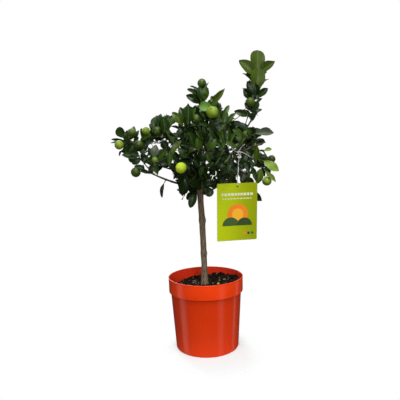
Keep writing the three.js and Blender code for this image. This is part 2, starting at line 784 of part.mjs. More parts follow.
function labelPlacement() {
  const turned = new THREE.Quaternion().setFromAxisAngle(up, label.turn);
  const swung = new THREE.Quaternion().setFromAxisAngle(new THREE.Vector3(1, 0, 0), label.swing);
  return new THREE.Matrix4().compose(vec(label.top), turned.multiply(swung), new THREE.Vector3(1, 1, 1));
}

function makeLabel() {
  const half = label.width / 2 - label.corner;
  const outline = new THREE.Shape();
  const corners = [
    [half, -label.corner],
    [-half, -label.corner],
    [-half, label.corner - label.height],
    [half, label.corner - label.height],
  ];
  corners.forEach(([x, y], quarter) => {
    outline.absarc(x, y, label.corner, (quarter * Math.PI) / 2, ((quarter + 1) * Math.PI) / 2, false);
  });
  outline.holes.push(new THREE.Path().absarc(0, -label.holeDrop, label.holeRadius, 0, fullTurn, true));
  const card = new THREE.ExtrudeGeometry(outline, {
    depth: label.thickness,
    bevelEnabled: false,
    curveSegments: 2,
  });
  card.translate(0, 0, -label.thickness / 2).rotateX(Math.PI / 2).applyMatrix4(labelPlacement());
  return solidOf(card);
}

// The tie is one closed loop: over the bough, down both faces of the card and through its hole.
function makeTie() {
  const { point: overPoint, axis } = pointAlong(limbs[tie.bough].path, tie.at);
  const [from, to] = limbs[tie.bough].radii.filter((_, i, all) => i === 0 || i === all.length - 1);
  const boughRadius = from + (to - from) * tie.at;
  const around = boughRadius + tie.radius + tie.gap;
  const across = new THREE.Vector3(axis.y, -axis.x, 0).normalize();
  const toCard = labelPlacement();
  const cardPoint = (side, drop) => new THREE.Vector3(0, side, -drop).applyMatrix4(toCard);
  const strand = label.thickness / 2 + tie.radius + tie.gap;
  const overBough = (turn) => overPoint.clone()
    .addScaledVector(across, around * Math.cos(turn))
    .addScaledVector(up, around * Math.sin(turn));
  const over = taper(tie.wrapTo, tie.wrapFrom, tie.wrapSteps)
    .map((turn) => overBough(across.y < 0 ? turn : Math.PI - turn));
  const loop = [
    cardPoint(0, label.holeDrop),
    cardPoint(strand * tie.pinch, label.holeDrop - tie.radius),
    cardPoint(strand, label.holeDrop - tie.aboveHole),
    cardPoint(strand, -tie.overEdge),
    ...over,
    cardPoint(-strand, -tie.overEdge),
    cardPoint(-strand, label.holeDrop - tie.aboveHole),
    cardPoint(-strand * tie.pinch, label.holeDrop - tie.radius),
  ];
  const frames = ringFrames(loop, true);
  const radii = loop.map(() => tie.radius);
  const points = ringPoints(frames, radii, tie.sides);
  return closedSolid(points, ringFaces(loop.length, tie.sides, true));
}

const trunkSolid = makeTrunk();
place('trunk', 'limb', trunkSolid);
addNode('pot', makePot(), '#e23a14', 0.35);
addNode('compost', makeSoil(), '#2a1c14', 0.95);
addNode('trunk', trunkSolid, '#7b6650', 0.85);
for (const bough of boughs) {
  const made = makeBough(bough);
  place(bough.name, 'limb', made);
  addNode(bough.name, made, '#4c5236', 0.8);
}
const card = makeLabel();
place('label', 'card', card);
addNode('label', card, '#9fbe0c', 0.4);
const thread = makeTie();
place('label_tie', 'card', thread);
addNode('label_tie', thread, '#f2f2ee', 0.5);
growCrown();
for (const mass of masses) {
  addNode(mass.name, largest(wasm.Manifold.union(mass.pieces)), '#24471c', 0.5);
}

export default root;
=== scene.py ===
import json
from collections import namedtuple
from math import atan2, cos, exp, pi, radians, sin, sqrt

import bmesh
import bpy
from mathutils import Euler, Matrix, Quaternion, Vector, kdtree, noise

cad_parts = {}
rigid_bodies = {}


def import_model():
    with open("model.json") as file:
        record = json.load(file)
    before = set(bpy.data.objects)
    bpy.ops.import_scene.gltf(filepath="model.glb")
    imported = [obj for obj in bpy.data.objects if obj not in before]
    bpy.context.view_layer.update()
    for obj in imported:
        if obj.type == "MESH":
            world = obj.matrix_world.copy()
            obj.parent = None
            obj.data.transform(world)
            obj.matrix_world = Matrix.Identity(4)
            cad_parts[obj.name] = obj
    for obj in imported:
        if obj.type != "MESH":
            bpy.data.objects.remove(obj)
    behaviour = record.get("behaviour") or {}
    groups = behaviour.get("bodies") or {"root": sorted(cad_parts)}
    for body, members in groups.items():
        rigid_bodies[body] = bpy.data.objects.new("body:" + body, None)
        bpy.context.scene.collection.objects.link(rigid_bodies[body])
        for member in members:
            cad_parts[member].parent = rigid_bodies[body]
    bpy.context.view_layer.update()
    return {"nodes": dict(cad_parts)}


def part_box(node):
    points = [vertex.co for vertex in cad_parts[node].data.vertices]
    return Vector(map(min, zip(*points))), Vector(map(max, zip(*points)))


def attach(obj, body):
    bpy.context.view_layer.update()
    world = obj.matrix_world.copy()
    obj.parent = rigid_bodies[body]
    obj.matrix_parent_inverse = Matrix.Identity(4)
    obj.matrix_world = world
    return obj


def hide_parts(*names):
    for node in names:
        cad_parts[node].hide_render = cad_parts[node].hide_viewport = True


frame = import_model()


# The view: the camera stands in front of the tree and a little above the pot, looking slightly down,
# and is held a little askew, so the pot's middle line leans in the picture as it does in the photograph.
CAMERA_PLACE = (-0.0087, -1.060, 0.475)
CAMERA_PITCH = radians(4.37)
CAMERA_ROLL = radians(-1.77)
CAMERA_LENS = 36
CAMERA_NEAR = 0.01
SENSOR_WIDTH = 36

camera_data = bpy.data.cameras.new("camera")
camera_data.lens = CAMERA_LENS
camera_data.sensor_width = SENSOR_WIDTH
camera_data.clip_start = CAMERA_NEAR
camera = bpy.data.objects.new("camera", camera_data)
aimed = Euler((pi / 2 - CAMERA_PITCH, 0, 0)).to_matrix() @ Matrix.Rotation(CAMERA_ROLL, 3, "Z")
camera.matrix_world = Matrix.Translation(CAMERA_PLACE) @ aimed.to_4x4()
bpy.context.scene.collection.objects.link(camera)
bpy.context.scene.camera = camera


# The studio: a round pale floor that fades into the white surround, soft lamps above, behind and before
# the tree, and three tall lamps low at its sides that draw soft stripes on the pot.
FLOOR_RADIUS = 1.6
FLOOR_SIDES = 96
FLOOR_FADE = (0.08, 0.15)
FLOOR_MIDDLE = (0.014, -0.05, 0)
FLOOR_CLEAR = 0.15
FLOOR_COLOUR = (0.70, 0.75, 0.75, 1)
WHITE = (1, 1, 1, 1)
SURROUND_SHOWN = 1.0
SURROUND_LIGHT = (0.05, 0.55)
SURROUND_RISE = (-0.1, 0.75)
# Each lamp: its place, the height over the middle that it is aimed at, its width, its height and its power.
LAMPS = {
    "lamp_above": ((0.15, -0.9, 2.3), 0.5, 1.0, 1.0, 44),
    "lamp_behind": ((-0.7, 1.7, 1.3), 0.5, 1.2, 1.2, 22),
    "lamp_front": ((0.3, -2.1, 0.8), 0.3, 0.8, 0.8, 23),
    "lamp_stripe_left": ((-1.6, -0.1, -0.5), 0.1, 0.60, 1.3, 3.2),
    "lamp_stripe_right": ((1.15, -1.0, -0.5), 0.1, 0.45, 1.3, 2.2),
    "lamp_stripe_edge": ((1.52, 0.49, -0.5), 0.1, 0.18, 1.3, 1.0)}


def set_socket(tree, socket, value):
    if isinstance(value, Wire):
        tree.links.new(value.socket, socket)
    else:
        socket.default_value = value


class Wire:
    """An output socket that can be used in a sum: each sum on values adds a Math node."""

    def __init__(self, tree, socket):
        self.tree = tree
        self.socket = socket

    def worked(self, operation, first, second):
        node = self.tree.nodes.new("ShaderNodeMath")
        node.operation = operation
        set_socket(self.tree, node.inputs[0], first)
        set_socket(self.tree, node.inputs[1], second)
        return Wire(self.tree, node.outputs[0])

    def __add__(self, other):
        return self.worked("ADD", self, other)

    def __radd__(self, other):
        return self.worked("ADD", other, self)

    def __sub__(self, other):
        return self.worked("SUBTRACT", self, other)

    def __rsub__(self, other):
        return self.worked("SUBTRACT", other, self)

    def __mul__(self, other):
        return self.worked("MULTIPLY", self, other)

    def __rmul__(self, other):
        return self.worked("MULTIPLY", other, self)


class Nodes:
    """A node tree that takes each new node as its type, its sockets' values or links, and its settings."""

    def __init__(self, tree):
        self.tree = tree

    def add(self, kind, sockets, output=0, **settings):
        node = self.tree.nodes.new(kind)
        for name, value in settings.items():
            setattr(node, name, value)
        for name, value in sockets.items():
            set_socket(self.tree, node.inputs[name], value)
        return Wire(self.tree, node.outputs[output])

    def blend(self, share, first, second):
        return self.add("ShaderNodeMix", {"Factor": share, 6: first, 7: second}, 2, data_type="RGBA")

    def clamped(self, value, low, high):
        sockets = {"Value": value, "From Min": low, "From Max": high}
        return self.add("ShaderNodeMapRange", sockets, interpolation_type="SMOOTHSTEP")

    def part(self, vector, axis):
        return self.add("ShaderNodeSeparateXYZ", {0: vector}, axis)


def make_floor():
    bpy.ops.mesh.primitive_circle_add(vertices=FLOOR_SIDES, radius=FLOOR_RADIUS, fill_type="NGON")
    floor = bpy.context.object
    floor.name = "floor"
    material = bpy.data.materials.new("floor")
    material.use_nodes = True
    nodes = Nodes(material.node_tree)
    place = nodes.add("ShaderNodeTexCoord", {}, "Object")
    distance = nodes.add("ShaderNodeVectorMath", {0: place, 1: FLOOR_MIDDLE}, "Value", operation="DISTANCE")
    fade = FLOOR_CLEAR + (1 - FLOOR_CLEAR) * nodes.clamped(distance, *FLOOR_FADE)
    white = nodes.add("ShaderNodeBsdfDiffuse", {"Color": FLOOR_COLOUR})
    clear = nodes.add("ShaderNodeBsdfTransparent", {})
    shown = nodes.add("ShaderNodeMixShader", {0: fade, 1: white, 2: clear})
    set_socket(nodes.tree, nodes.tree.nodes["Material Output"].inputs["Surface"], shown)
    floor.data.materials.append(material)
    floor.visible_glossy = False


def make_surround():
    world = bpy.data.worlds.new("surround")
    world.use_nodes = True
    nodes = Nodes(world.node_tree)
    seen = nodes.add("ShaderNodeLightPath", {}, "Is Camera Ray")
    shown = nodes.add("ShaderNodeBackground", {"Color": WHITE, "Strength": SURROUND_SHOWN})
    heading = nodes.add("ShaderNodeTexCoord", {}, "Generated")
    low, high = SURROUND_LIGHT
    strength = low + (high - low) * nodes.clamped(nodes.part(heading, "Z"), *SURROUND_RISE)
    lit = nodes.add("ShaderNodeBackground", {"Color": WHITE, "Strength": strength})
    mixed = nodes.add("ShaderNodeMixShader", {0: seen, 1: lit, 2: shown})
    set_socket(nodes.tree, nodes.tree.nodes["World Output"].inputs["Surface"], mixed)
    bpy.context.scene.world = world


def add_lamp(name, place, aim_height, width, height, power):
    data = bpy.data.lights.new(name, "AREA")
    data.shape = "RECTANGLE"
    data.size = width
    data.size_y = height
    data.energy = power
    lamp = bpy.data.objects.new(name, data)
    heading = (Vector((0, 0, aim_height)) - Vector(place)).to_track_quat("-Z", "Y")
    lamp.matrix_world = Matrix.Translation(place) @ heading.to_matrix().to_4x4()
    bpy.context.scene.collection.objects.link(lamp)


make_floor()
make_surround()
for lamp_name, lamp_values in LAMPS.items():
    add_lamp(lamp_name, *lamp_values)
bpy.context.scene.view_settings.view_transform = "Standard"


# The pot: a thin moulded growers' pot of glossy orange-red plastic, turned about its axis, with a deep
# band at the rim, a small bead along its lip, a rounded foot and four drain holes.
MM = 0.001
FULL_TURN = 2 * pi
POT_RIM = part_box("pot")[1].x
POT_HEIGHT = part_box("pot")[1].z
POT_WALL = 2.4 * MM
POT_BAND_RADIUS = 99 * MM
POT_BAND_FOOT = POT_HEIGHT - 38.5 * MM
POT_INNER_STEP = POT_HEIGHT - 34 * MM
POT_NECK_RADIUS = 94.3 * MM
POT_NECK = POT_BAND_FOOT + 0.5 * MM
POT_INNER_NECK = POT_HEIGHT - 40 * MM
POT_FOOT_RADIUS = 84 * MM
POT_BEAD = 0.5 * MM
POT_EDGE = 1.2 * MM
POT_FOOT_EDGE = 3 * MM
POT_SIDES = 160
CORNER_STEPS = 5
DRAINS = 4
DRAIN_RADIUS = 5 * MM
DRAIN_CIRCLE = 56 * MM
DRAIN_SIDES = 24
POT_COLOUR = (0.88, 0.056, 0.006, 1)
POT_DEEP_COLOUR = (0.77, 0.044, 0.005, 1)
# The inside wall's red, darker than the outside's: painted shade inside the pot.
POT_INSIDE_PAINTED_SHADE = (0.72, 0.038, 0.012, 1)
# How much darker the body below the band is than the band: painted shade, the plastic being the same.
POT_BODY_PAINTED_SHADE = 0.8
# A dark red painted as the shadow just under the band.
POT_UNDER_BAND_PAINTED_SHADOW = (0.16, 0.012, 0.005, 1)
POT_SHINE = 0.2


class Finish(Nodes):
    """A material in the making, with the spot that it colours and the shader that it feeds."""

    def __init__(self, name, shine=None):
        self.material = bpy.data.materials.new(name)
        self.material.use_nodes = True
        super().__init__(self.material.node_tree)
        self.shader = self.tree.nodes["Principled BSDF"]
        self.place = self.add("ShaderNodeTexCoord", {}, "Object")
        if shine is not None:
            self.shader.inputs["Specular IOR Level"].default_value = shine

    def noise(self, scale, detail, stretch=None):
        place = self.place
        if stretch:
            place = self.add("ShaderNodeMapping", {"Vector": place, "Scale": stretch})
        return self.add("ShaderNodeTexNoise", {"Vector": place, "Scale": scale, "Detail": detail})

    def done(self, colour, roughness, relief=None, strength=0, distance=MM):
        set_socket(self.tree, self.shader.inputs["Base Color"], colour)
        set_socket(self.tree, self.shader.inputs["Roughness"], roughness)
        if relief:
            sockets = {"Height": relief, "Strength": strength, "Distance": distance}
            set_socket(self.tree, self.shader.inputs["Normal"], self.add("ShaderNodeBump", sockets))
        return self.material


def tinted(colour, factor):
    return tuple(min(1, part * factor) for part in colour[:3]) + (1,)


def add_piece(name, mesh, *materials):
    for material in materials:
        mesh.materials.append(material)
    piece = bpy.data.objects.new(name, mesh)
    bpy.context.scene.collection.objects.link(piece)
    return piece


def mesh_of(name, points, faces):
    mesh = bpy.data.meshes.new(name)
    mesh.from_pydata([tuple(point) for point in points], [], faces)
    mesh.polygons.foreach_set("use_smooth", [True] * len(mesh.polygons))
    mesh.update()
    return mesh


def settle(piece):
    """Applies what a piece's modifiers make, so that it is a plain mesh."""
    bpy.context.view_layer.update()
    state = bpy.context.evaluated_depsgraph_get()
    made = bpy.data.meshes.new_from_object(
        piece.evaluated_get(state), preserve_all_data_layers=True, depsgraph=state)
    piece.modifiers.clear()
    piece.data = made
    made.name = piece.name
    return piece


def spread(low, high, steps):
    return [low + (high - low) * i / steps for i in range(steps + 1)]


def ring_spots(radius, height, sides):
    for k in range(sides):
        angle = FULL_TURN * k / sides
        yield radius * cos(angle), radius * sin(angle), height


def ring_faces(first, rings, sides, foot, top):
    """Faces that join rings of points, the first starting at point first, and the points foot and top."""
    last = first + (rings - 1) * sides
    for k in range(sides):
        after = (k + 1) % sides
        yield foot, first + after, first + k
        for low in range(first, last, sides):
            yield low + k, low + after, low + sides + after, low + sides + k
        yield top, last + k, last + after


def rounded(corner, before, after, radius):
    """The points that round off one corner of a profile."""
    start = corner + (before - corner).normalized() * radius
    end = corner + (after - corner).normalized() * radius
    for t in spread(0, 1, CORNER_STEPS):
        yield start * (1 - t) ** 2 + corner * 2 * t * (1 - t) + end * t ** 2


def pot_mesh():
    """The pot's wall, from the middle of its underside over its lip to the middle of its floor."""
    corners = [
        (POT_FOOT_RADIUS, 0, POT_FOOT_EDGE),
        (POT_NECK_RADIUS, POT_NECK, POT_EDGE / 4),
        (POT_BAND_RADIUS, POT_BAND_FOOT, POT_EDGE),
        (POT_RIM - POT_BEAD, POT_HEIGHT - 5 * POT_BEAD, POT_BEAD),
        (POT_RIM, POT_HEIGHT - 4 * POT_BEAD, POT_BEAD),
        (POT_RIM, POT_HEIGHT, POT_EDGE),
        (POT_RIM - POT_WALL, POT_HEIGHT, POT_EDGE),
        (POT_BAND_RADIUS - POT_WALL, POT_INNER_STEP, POT_EDGE),
        (POT_NECK_RADIUS - POT_WALL, POT_INNER_NECK, POT_EDGE),
        (POT_FOOT_RADIUS - POT_WALL, POT_WALL, POT_EDGE),
    ]
    places = [Vector((0, 0))] + [Vector(corner[:2]) for corner in corners] + [Vector((0, POT_WALL))]
    profile = []
    for i, (_, _, radius) in enumerate(corners, start=1):
        profile.extend(rounded(places[i], places[i - 1], places[i + 1], radius))
    points = [(0, 0, 0)]
    for spot in profile:
        points.extend(ring_spots(spot.x, spot.y, POT_SIDES))
    points.append((0, 0, POT_WALL))
    return mesh_of("pot_shell", points, list(ring_faces(1, len(profile), POT_SIDES, 0, len(points) - 1)))


def drill_drains(piece):
    for spot in ring_spots(DRAIN_CIRCLE, 0, DRAINS):
        bpy.ops.mesh.primitive_cylinder_add(
            vertices=DRAIN_SIDES, radius=DRAIN_RADIUS, depth=4 * POT_WALL, location=spot)
        drill = bpy.context.object
        cut = piece.modifiers.new("drain", "BOOLEAN")
        cut.object = drill
        settle(piece)
        bpy.data.objects.remove(drill)


def plastic(name, first_colour, second_colour):
    """Moulded plastic with a faint upward flow and scuffs, the body darker in painted shade and a painted
    shadow under the band.
    """
    finish = Finish(name, POT_SHINE)
    flow = finish.noise(scale=38, detail=3, stretch=(1, 1, 0.12))
    cloud = finish.noise(scale=14, detail=5)
    grain = finish.noise(scale=900, detail=2)
    scuff = finish.noise(scale=160, detail=6)
    height = finish.part(finish.place, "Z")
    colour = finish.blend(finish.clamped(cloud, 0.35, 0.7), first_colour, second_colour)
    # Painted shade: below the band the body is a darker red than the band.
    body = finish.clamped(height, POT_BAND_FOOT + MM, POT_BAND_FOOT - MM)
    colour = finish.blend(body * 0.8, colour, tinted(second_colour, POT_BODY_PAINTED_SHADE))
    # Painted shadow: a dark red strip just under the band.
    band_painted_shadow = finish.clamped(height, POT_BAND_FOOT - 4 * MM, POT_BAND_FOOT - MM) * body
    colour = finish.blend(band_painted_shadow * 0.75, colour, POT_UNDER_BAND_PAINTED_SHADOW)
    rough = 0.16 + 0.08 * cloud + 0.1 * finish.clamped(scuff, 0.55, 0.75)
    return finish.done(colour, rough, 0.6 * flow + 0.15 * grain + 0.25 * scuff, strength=0.06)


pot = add_piece("pot_shell", pot_mesh())
drill_drains(pot)
pot.data.materials.clear()
pot.data.materials.append(plastic("orange_red_plastic", POT_COLOUR, POT_DEEP_COLOUR))
# The inside wall gets the same plastic in a darker red, as painted shade.
pot.data.materials.append(plastic("shaded_red_plastic", POT_INSIDE_PAINTED_SHADE, POT_INSIDE_PAINTED_SHADE))
for polygon in pot.data.polygons:
    faces_axis = polygon.center.x * polygon.normal.x + polygon.center.y * polygon.normal.y < 0
    polygon.material_index = 1 if faces_axis and polygon.center.z > POT_WALL else 0
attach(pot, "root")
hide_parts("pot")


# The compost: dark peat that fills the pot to a lumpy top, banked up at the back right, flat at the stem,
# with loose crumbs, bark chips, grit, straw, moss, two heaps of litter and one yellow grain lying on it.
SOIL_LEVEL = 0.166
SOIL_FLAT_RADIUS = 0.015
SOIL_RIM_RADIUS = POT_BAND_RADIUS - POT_WALL - 0.3 * MM
SOIL_SKIRT_GAP = 0.4 * MM
SOIL_SKIRT_LIFT = 0.3 * MM
SOIL_RISE = 9 * MM
SOIL_BANK_ANGLE = 0.5
SOIL_DIP = 3.5 * MM
SOIL_LUMP = 5 * MM
SOIL_SETTLE = 2.5
SOIL_ROUGHNESS = 5.5 * MM
LUMP_RINGS = 170
LUMP_SWIRL = 3
LUMP_LOBES = 5
CRUMBLE_FROM = 0.4
CLOD_SCALE = 90
CLOD_SHARE = 0.6
CLOD_EDGE_SCALE = 240
CLOD_EDGE_SHARE = 0.35
SOIL_RINGS = 56
SOIL_SIDES = 200
SOIL_DARK = (0.0035, 0.0022, 0.0014, 1)
SOIL_BROWN = (0.030, 0.017, 0.008, 1)
EARTH_SHINE = 0.1
LOWEST_BIT = SOIL_LEVEL - 12 * MM
STEEPEST_BED = 0.2
ANY_WAY = 6.28
SIDEWAYS_LEAN = 0.7
KNOCK_SCALE = 3
YELLOW_GRAIN_PLACE = (0.033, -0.010)
YELLOW_GRAIN_LIFT = 5 * MM
YELLOW_GRAIN_SIZE = (6.4 * MM, 4.4 * MM, 4 * MM)
# Each heap: its place and its radius, one against the stem's left side and one near the right wall.
LITTER_HEAPS = [(-0.018, 0.020, 0.016), (0.064, 0.024, 0.014)]
BIT_SEED = 10
HEAP_SEEDS = (7, 21)
LITTER_COLOURS = [
    ((0.10, 0.085, 0.05, 1), (0.40, 0.38, 0.27, 1)),
    ((0.07, 0.10, 0.05, 1), (0.38, 0.44, 0.33, 1))]


def soil_height(radius, angle):
    if radius <= SOIL_FLAT_RADIUS:
        return SOIL_LEVEL
    out = (radius - SOIL_FLAT_RADIUS) / (POT_BAND_RADIUS - SOIL_FLAT_RADIUS)
    bank = SOIL_RISE * out * cos(angle - SOIL_BANK_ANGLE)
    lumps = sin(radius * LUMP_RINGS + LUMP_SWIRL * angle) * cos(LUMP_LOBES * angle + 1) * SOIL_LUMP
    return SOIL_LEVEL + bank - SOIL_DIP * out + lumps * min(1, SOIL_SETTLE * out)


def soil_crumble(x, y, radius):
    if radius <= CRUMBLE_FROM * SOIL_FLAT_RADIUS:
        return 0
    place = Vector((x, y, 0))
    clods = noise.fractal(place * CLOD_SCALE, 0.7, 2.1, 5)
    edges = noise.turbulence(place * CLOD_EDGE_SCALE, 3, True)
    crumbled = min(1, radius / SOIL_FLAT_RADIUS - CRUMBLE_FROM)
    return SOIL_ROUGHNESS * (CLOD_SHARE * clods + CLOD_EDGE_SHARE * (edges - 0.5)) * crumbled


def compost_mesh():
    skirt = [(POT_FOOT_RADIUS, POT_WALL), (POT_NECK_RADIUS, POT_INNER_NECK - 0.5 * MM)]
    rings = [list(ring_spots(radius - POT_WALL - SOIL_SKIRT_GAP, height + SOIL_SKIRT_LIFT, SOIL_SIDES))
             for radius, height in skirt]
    for ring in range(SOIL_RINGS):
        radius = SOIL_RIM_RADIUS * (1 - ring / SOIL_RINGS)
        row = []
        for k, (x, y, _) in enumerate(ring_spots(radius, 0, SOIL_SIDES)):
            height = soil_height(radius, FULL_TURN * k / SOIL_SIDES)
            row.append((x, y, height + soil_crumble(x, y, radius)))
        rings.append(row)
    points = [(0, 0, rings[0][0][2])] + [spot for row in rings for spot in row] + [(0, 0, SOIL_LEVEL)]
    return mesh_of("compost_bed", points, list(ring_faces(1, len(rings), SOIL_SIDES, 0, len(points) - 1)))


def earthy(name, dark, light, scale, roughness):
    """A dull rough finish mottled between two colours, for compost and what lies on it."""
    finish = Finish(name, EARTH_SHINE)
    mottle = finish.noise(scale, detail=6)
    fine = finish.noise(scale * 7, detail=4)
    share = finish.clamped(0.65 * mottle + 0.35 * fine, 0.38, 0.68)
    colour = finish.blend(share, dark, light)
    return finish.done(colour, roughness - 0.15 * fine, fine + mottle, strength=0.7)


class Maker(Nodes):
    """A geometry tree with named inputs that a piece's points or mesh are put through."""

    def __init__(self, name, inputs):
        super().__init__(bpy.data.node_groups.new(name, "GeometryNodeTree"))
        self.identifiers = {}
        panel = self.tree.interface
        panel.new_socket(name="Geometry", in_out="INPUT", socket_type="NodeSocketGeometry")
        for title, kind in inputs.items():
            socket = panel.new_socket(name=title, in_out="INPUT", socket_type="NodeSocket" + kind)
            self.identifiers[title] = socket.identifier
        panel.new_socket(name="Geometry", in_out="OUTPUT", socket_type="NodeSocketGeometry")
        group = self.tree.nodes.new("NodeGroupInput")
        self.given = {title: Wire(self.tree, group.outputs[title]) for title in ("Geometry", *inputs)}

    def drawn(self, low, high, seed):
        """A random number for every point."""
        sockets = {"Min": low, "Max": high, "Seed": seed}
        return self.add("FunctionNodeRandomValue", sockets, 1, data_type="FLOAT")

    def end(self, geometry):
        set_socket(self.tree, self.tree.nodes.new("NodeGroupOutput").inputs[0], geometry)
        return self

    def run(self, piece, chosen):
        modifier = piece.modifiers.new(self.tree.name, "NODES")
        modifier.node_group = self.tree
        for title, value in chosen.items():
            modifier[self.identifiers[title]] = value
        return settle(piece)


def strewing():
    """Bits of one kind lie at random on the upward faces of a bed, each turned and sized by chance."""
    maker = Maker("strewn_bits", {
        "Bit": "Object", "Density": "Float", "Smallest": "Float", "Largest": "Float", "Tilt": "Float",
        "Seed": "Int", "Finish": "Material"})
    given = maker.given
    upward = maker.part(maker.add("GeometryNodeInputNormal", {}), "Z")
    height = maker.part(maker.add("GeometryNodeInputPosition", {}), "Z")
    above = maker.add("FunctionNodeCompare", {0: height, 1: LOWEST_BIT})
    flat = maker.add("FunctionNodeCompare", {0: upward, 1: STEEPEST_BED})
    chosen = maker.add("FunctionNodeBooleanMath", {0: above, 1: flat})
    spots = maker.add("GeometryNodeDistributePointsOnFaces", {
        "Mesh": given["Geometry"], "Selection": chosen, "Density": given["Density"], "Seed": given["Seed"]})
    shape = maker.add("GeometryNodeObjectInfo", {"Object": given["Bit"]}, "Geometry")
    spin = maker.drawn(0, ANY_WAY, given["Seed"])
    lean = maker.drawn(given["Tilt"] * -1, given["Tilt"], given["Seed"] + 1)
    turn = maker.add("ShaderNodeCombineXYZ", {"X": lean, "Y": lean * SIDEWAYS_LEAN, "Z": spin})
    size = maker.drawn(given["Smallest"], given["Largest"], given["Seed"] + 2)
    bits = maker.add("GeometryNodeInstanceOnPoints", {
        "Points": spots, "Instance": shape, "Rotation": turn, "Scale": size})
    real = maker.add("GeometryNodeRealizeInstances", {"Geometry": bits})
    return maker.end(maker.add("GeometryNodeSetMaterial", {"Geometry": real, "Material": given["Finish"]}))


def lump_shape(name, stretch, wildness, seed):
    """One bit, a metre across, to be set out at its real size: a ball knocked out of round."""
    mesh = bpy.data.meshes.new(name)
    ball = bmesh.new()
    bmesh.ops.create_icosphere(ball, subdivisions=1, radius=0.5)
    for corner in ball.verts:
        knock = 1 + wildness * noise.noise(corner.co * KNOCK_SCALE + Vector((seed, 0, 0)))
        corner.co = Vector(a * b for a, b in zip(corner.co * knock, stretch))
    ball.to_mesh(mesh)
    ball.free()
    return bpy.data.objects.new(name, mesh)


def patch_of(bed, x, y, reach):
    """A copy of the part of a bed whose faces lie within reach of a spot."""
    work = bmesh.new()
    work.from_mesh(bed.data)
    away = [face for face in work.faces if (face.calc_center_median().xy - Vector((x, y))).length > reach]
    bmesh.ops.delete(work, geom=away, context="FACES")
    mesh = bpy.data.meshes.new("patch")
    work.to_mesh(mesh)
    work.free()
    return bpy.data.objects.new("patch", mesh)


def strew(bed, seeds, name, stretch, wildness, density, smallest, largest, tilt, finish):
    shape_seed, spot_seed = seeds
    shape = lump_shape(f"{name}_bit", stretch, wildness, shape_seed)
    piece = add_piece(name, bed.data.copy())
    strewn.run(piece, {
        "Bit": shape, "Density": density, "Smallest": smallest * MM, "Largest": largest * MM,
        "Tilt": tilt, "Seed": spot_seed, "Finish": finish})
    bpy.data.objects.remove(shape)
    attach(piece, "root")


peat = earthy("peat", SOIL_DARK, SOIL_BROWN, 120, 0.95)
compost = add_piece("compost_bed", compost_mesh(), peat)
strewn = strewing()
# Each kind of bit: its stretch, how knocked about it is, how many lie on a square metre, its smallest and
# largest size in millimetres, how far it may tilt, and its finish.
BITS = [
    ("compost_crumbs", (1, 0.85, 0.7), 0.9, 26000, 1.5, 7.5, 0.9, peat),
    ("bark_chips", (1, 0.5, 0.25), 0.6, 3600, 4, 11, 0.6,
     earthy("chip", (0.015, 0.008, 0.004, 1), (0.10, 0.060, 0.032, 1), 300, 0.85)),
    ("grey_grit", (1, 0.9, 0.75), 0.5, 2200, 2.2, 6, 0.6,
     earthy("grit", (0.12, 0.12, 0.08, 1), (0.42, 0.42, 0.30, 1), 500, 0.8)),
    ("straw", (1, 0.08, 0.06), 0.4, 900, 6, 16, 0.35,
     earthy("straw", (0.20, 0.15, 0.08, 1), (0.48, 0.40, 0.24, 1), 300, 0.7)),
    ("moss_shreds", (1, 0.3, 0.2), 0.8, 2000, 3, 8, 0.6,
     earthy("moss", (0.04, 0.07, 0.02, 1), (0.22, 0.29, 0.13, 1), 300, 0.8))]
LITTER_BIT = ((1, 0.45, 0.3), 0.6, 60000, 2.5, 8, 0.7)
for kind, bit in enumerate(BITS, start=1):
    strew(compost, (kind, BIT_SEED + kind), *bit)
for heap, (x, y, reach) in enumerate(LITTER_HEAPS):
    patch = patch_of(compost, x, y, reach)
    strew(patch, [seed + heap for seed in HEAP_SEEDS], f"litter_heap_{heap}", *LITTER_BIT,
          earthy(f"litter_{heap}", *LITTER_COLOURS[heap], 300, 0.85))
    bpy.data.objects.remove(patch)
grain_x, grain_y = YELLOW_GRAIN_PLACE
grain_z = soil_height(sqrt(grain_x ** 2 + grain_y ** 2), atan2(grain_y, grain_x)) + YELLOW_GRAIN_LIFT
grain_mesh = lump_shape("grain", YELLOW_GRAIN_SIZE, 0.3, 6).data
grain_mesh.transform(Matrix.Translation((grain_x, grain_y, grain_z)))
grain = add_piece("yellow_grain", grain_mesh, earthy(
    "yellow_grain", (0.65, 0.50, 0.02, 1), (0.85, 0.75, 0.10, 1), 300, 0.6))
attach(grain, "root")
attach(compost, "root")
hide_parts("compost")


# The trunk: one bare woody stem, a little crooked, flared at the soil and swollen at the fork, in grey-brown
# bark with shallow cracks, small raised pores and two old knots where side shoots were cut away.
TRUNK_FOOT = 166.3
TRUNK_FORK = 446
# Each bend: its share of the height, and its place across and in depth.
TRUNK_BENDS = [
    (0, -3.3, 0), (0.18, -2.4, 1), (0.36, -3.2, 2), (0.6, -4.4, 1), (0.82, -7.2, -1), (1, -8.5, -2)]
TRUNK_RADIUS = 8.1
FLARE_RADIUS = 11
FLARE_HEIGHT = 16
FORK_RADIUS = 8.6
FORK_SPREAD = 4
TOP_ROUNDS_FROM = 0.97
TOP_ROUNDS_OVER = 0.06
TIP_ROUNDNESS = 0.4
TRUNK_STEPS = 12
# Each knot: its share of the height, how far it swells the trunk, and the way it faces.
TRUNK_KNOTS = [(0.3, 0.7, 0.4), (0.62, 1.1, -0.2)]
KNOT_LENGTH = 0.03
KNOT_WIDTH = 0.42
KNOT_BUMP = 1.5
KNOT_HEIGHT = 0.6
KNOT_DENT = 0.75
DENT_REACH = 0.4
ROOT_RIDGE = 0.7
ROOT_RIDGES = 5
ROOT_TURN = 0.8
ROOT_FADE = 9
TRUNK_BURIED = 4
TRUNK_RINGS = 230
TRUNK_SIDES = 60
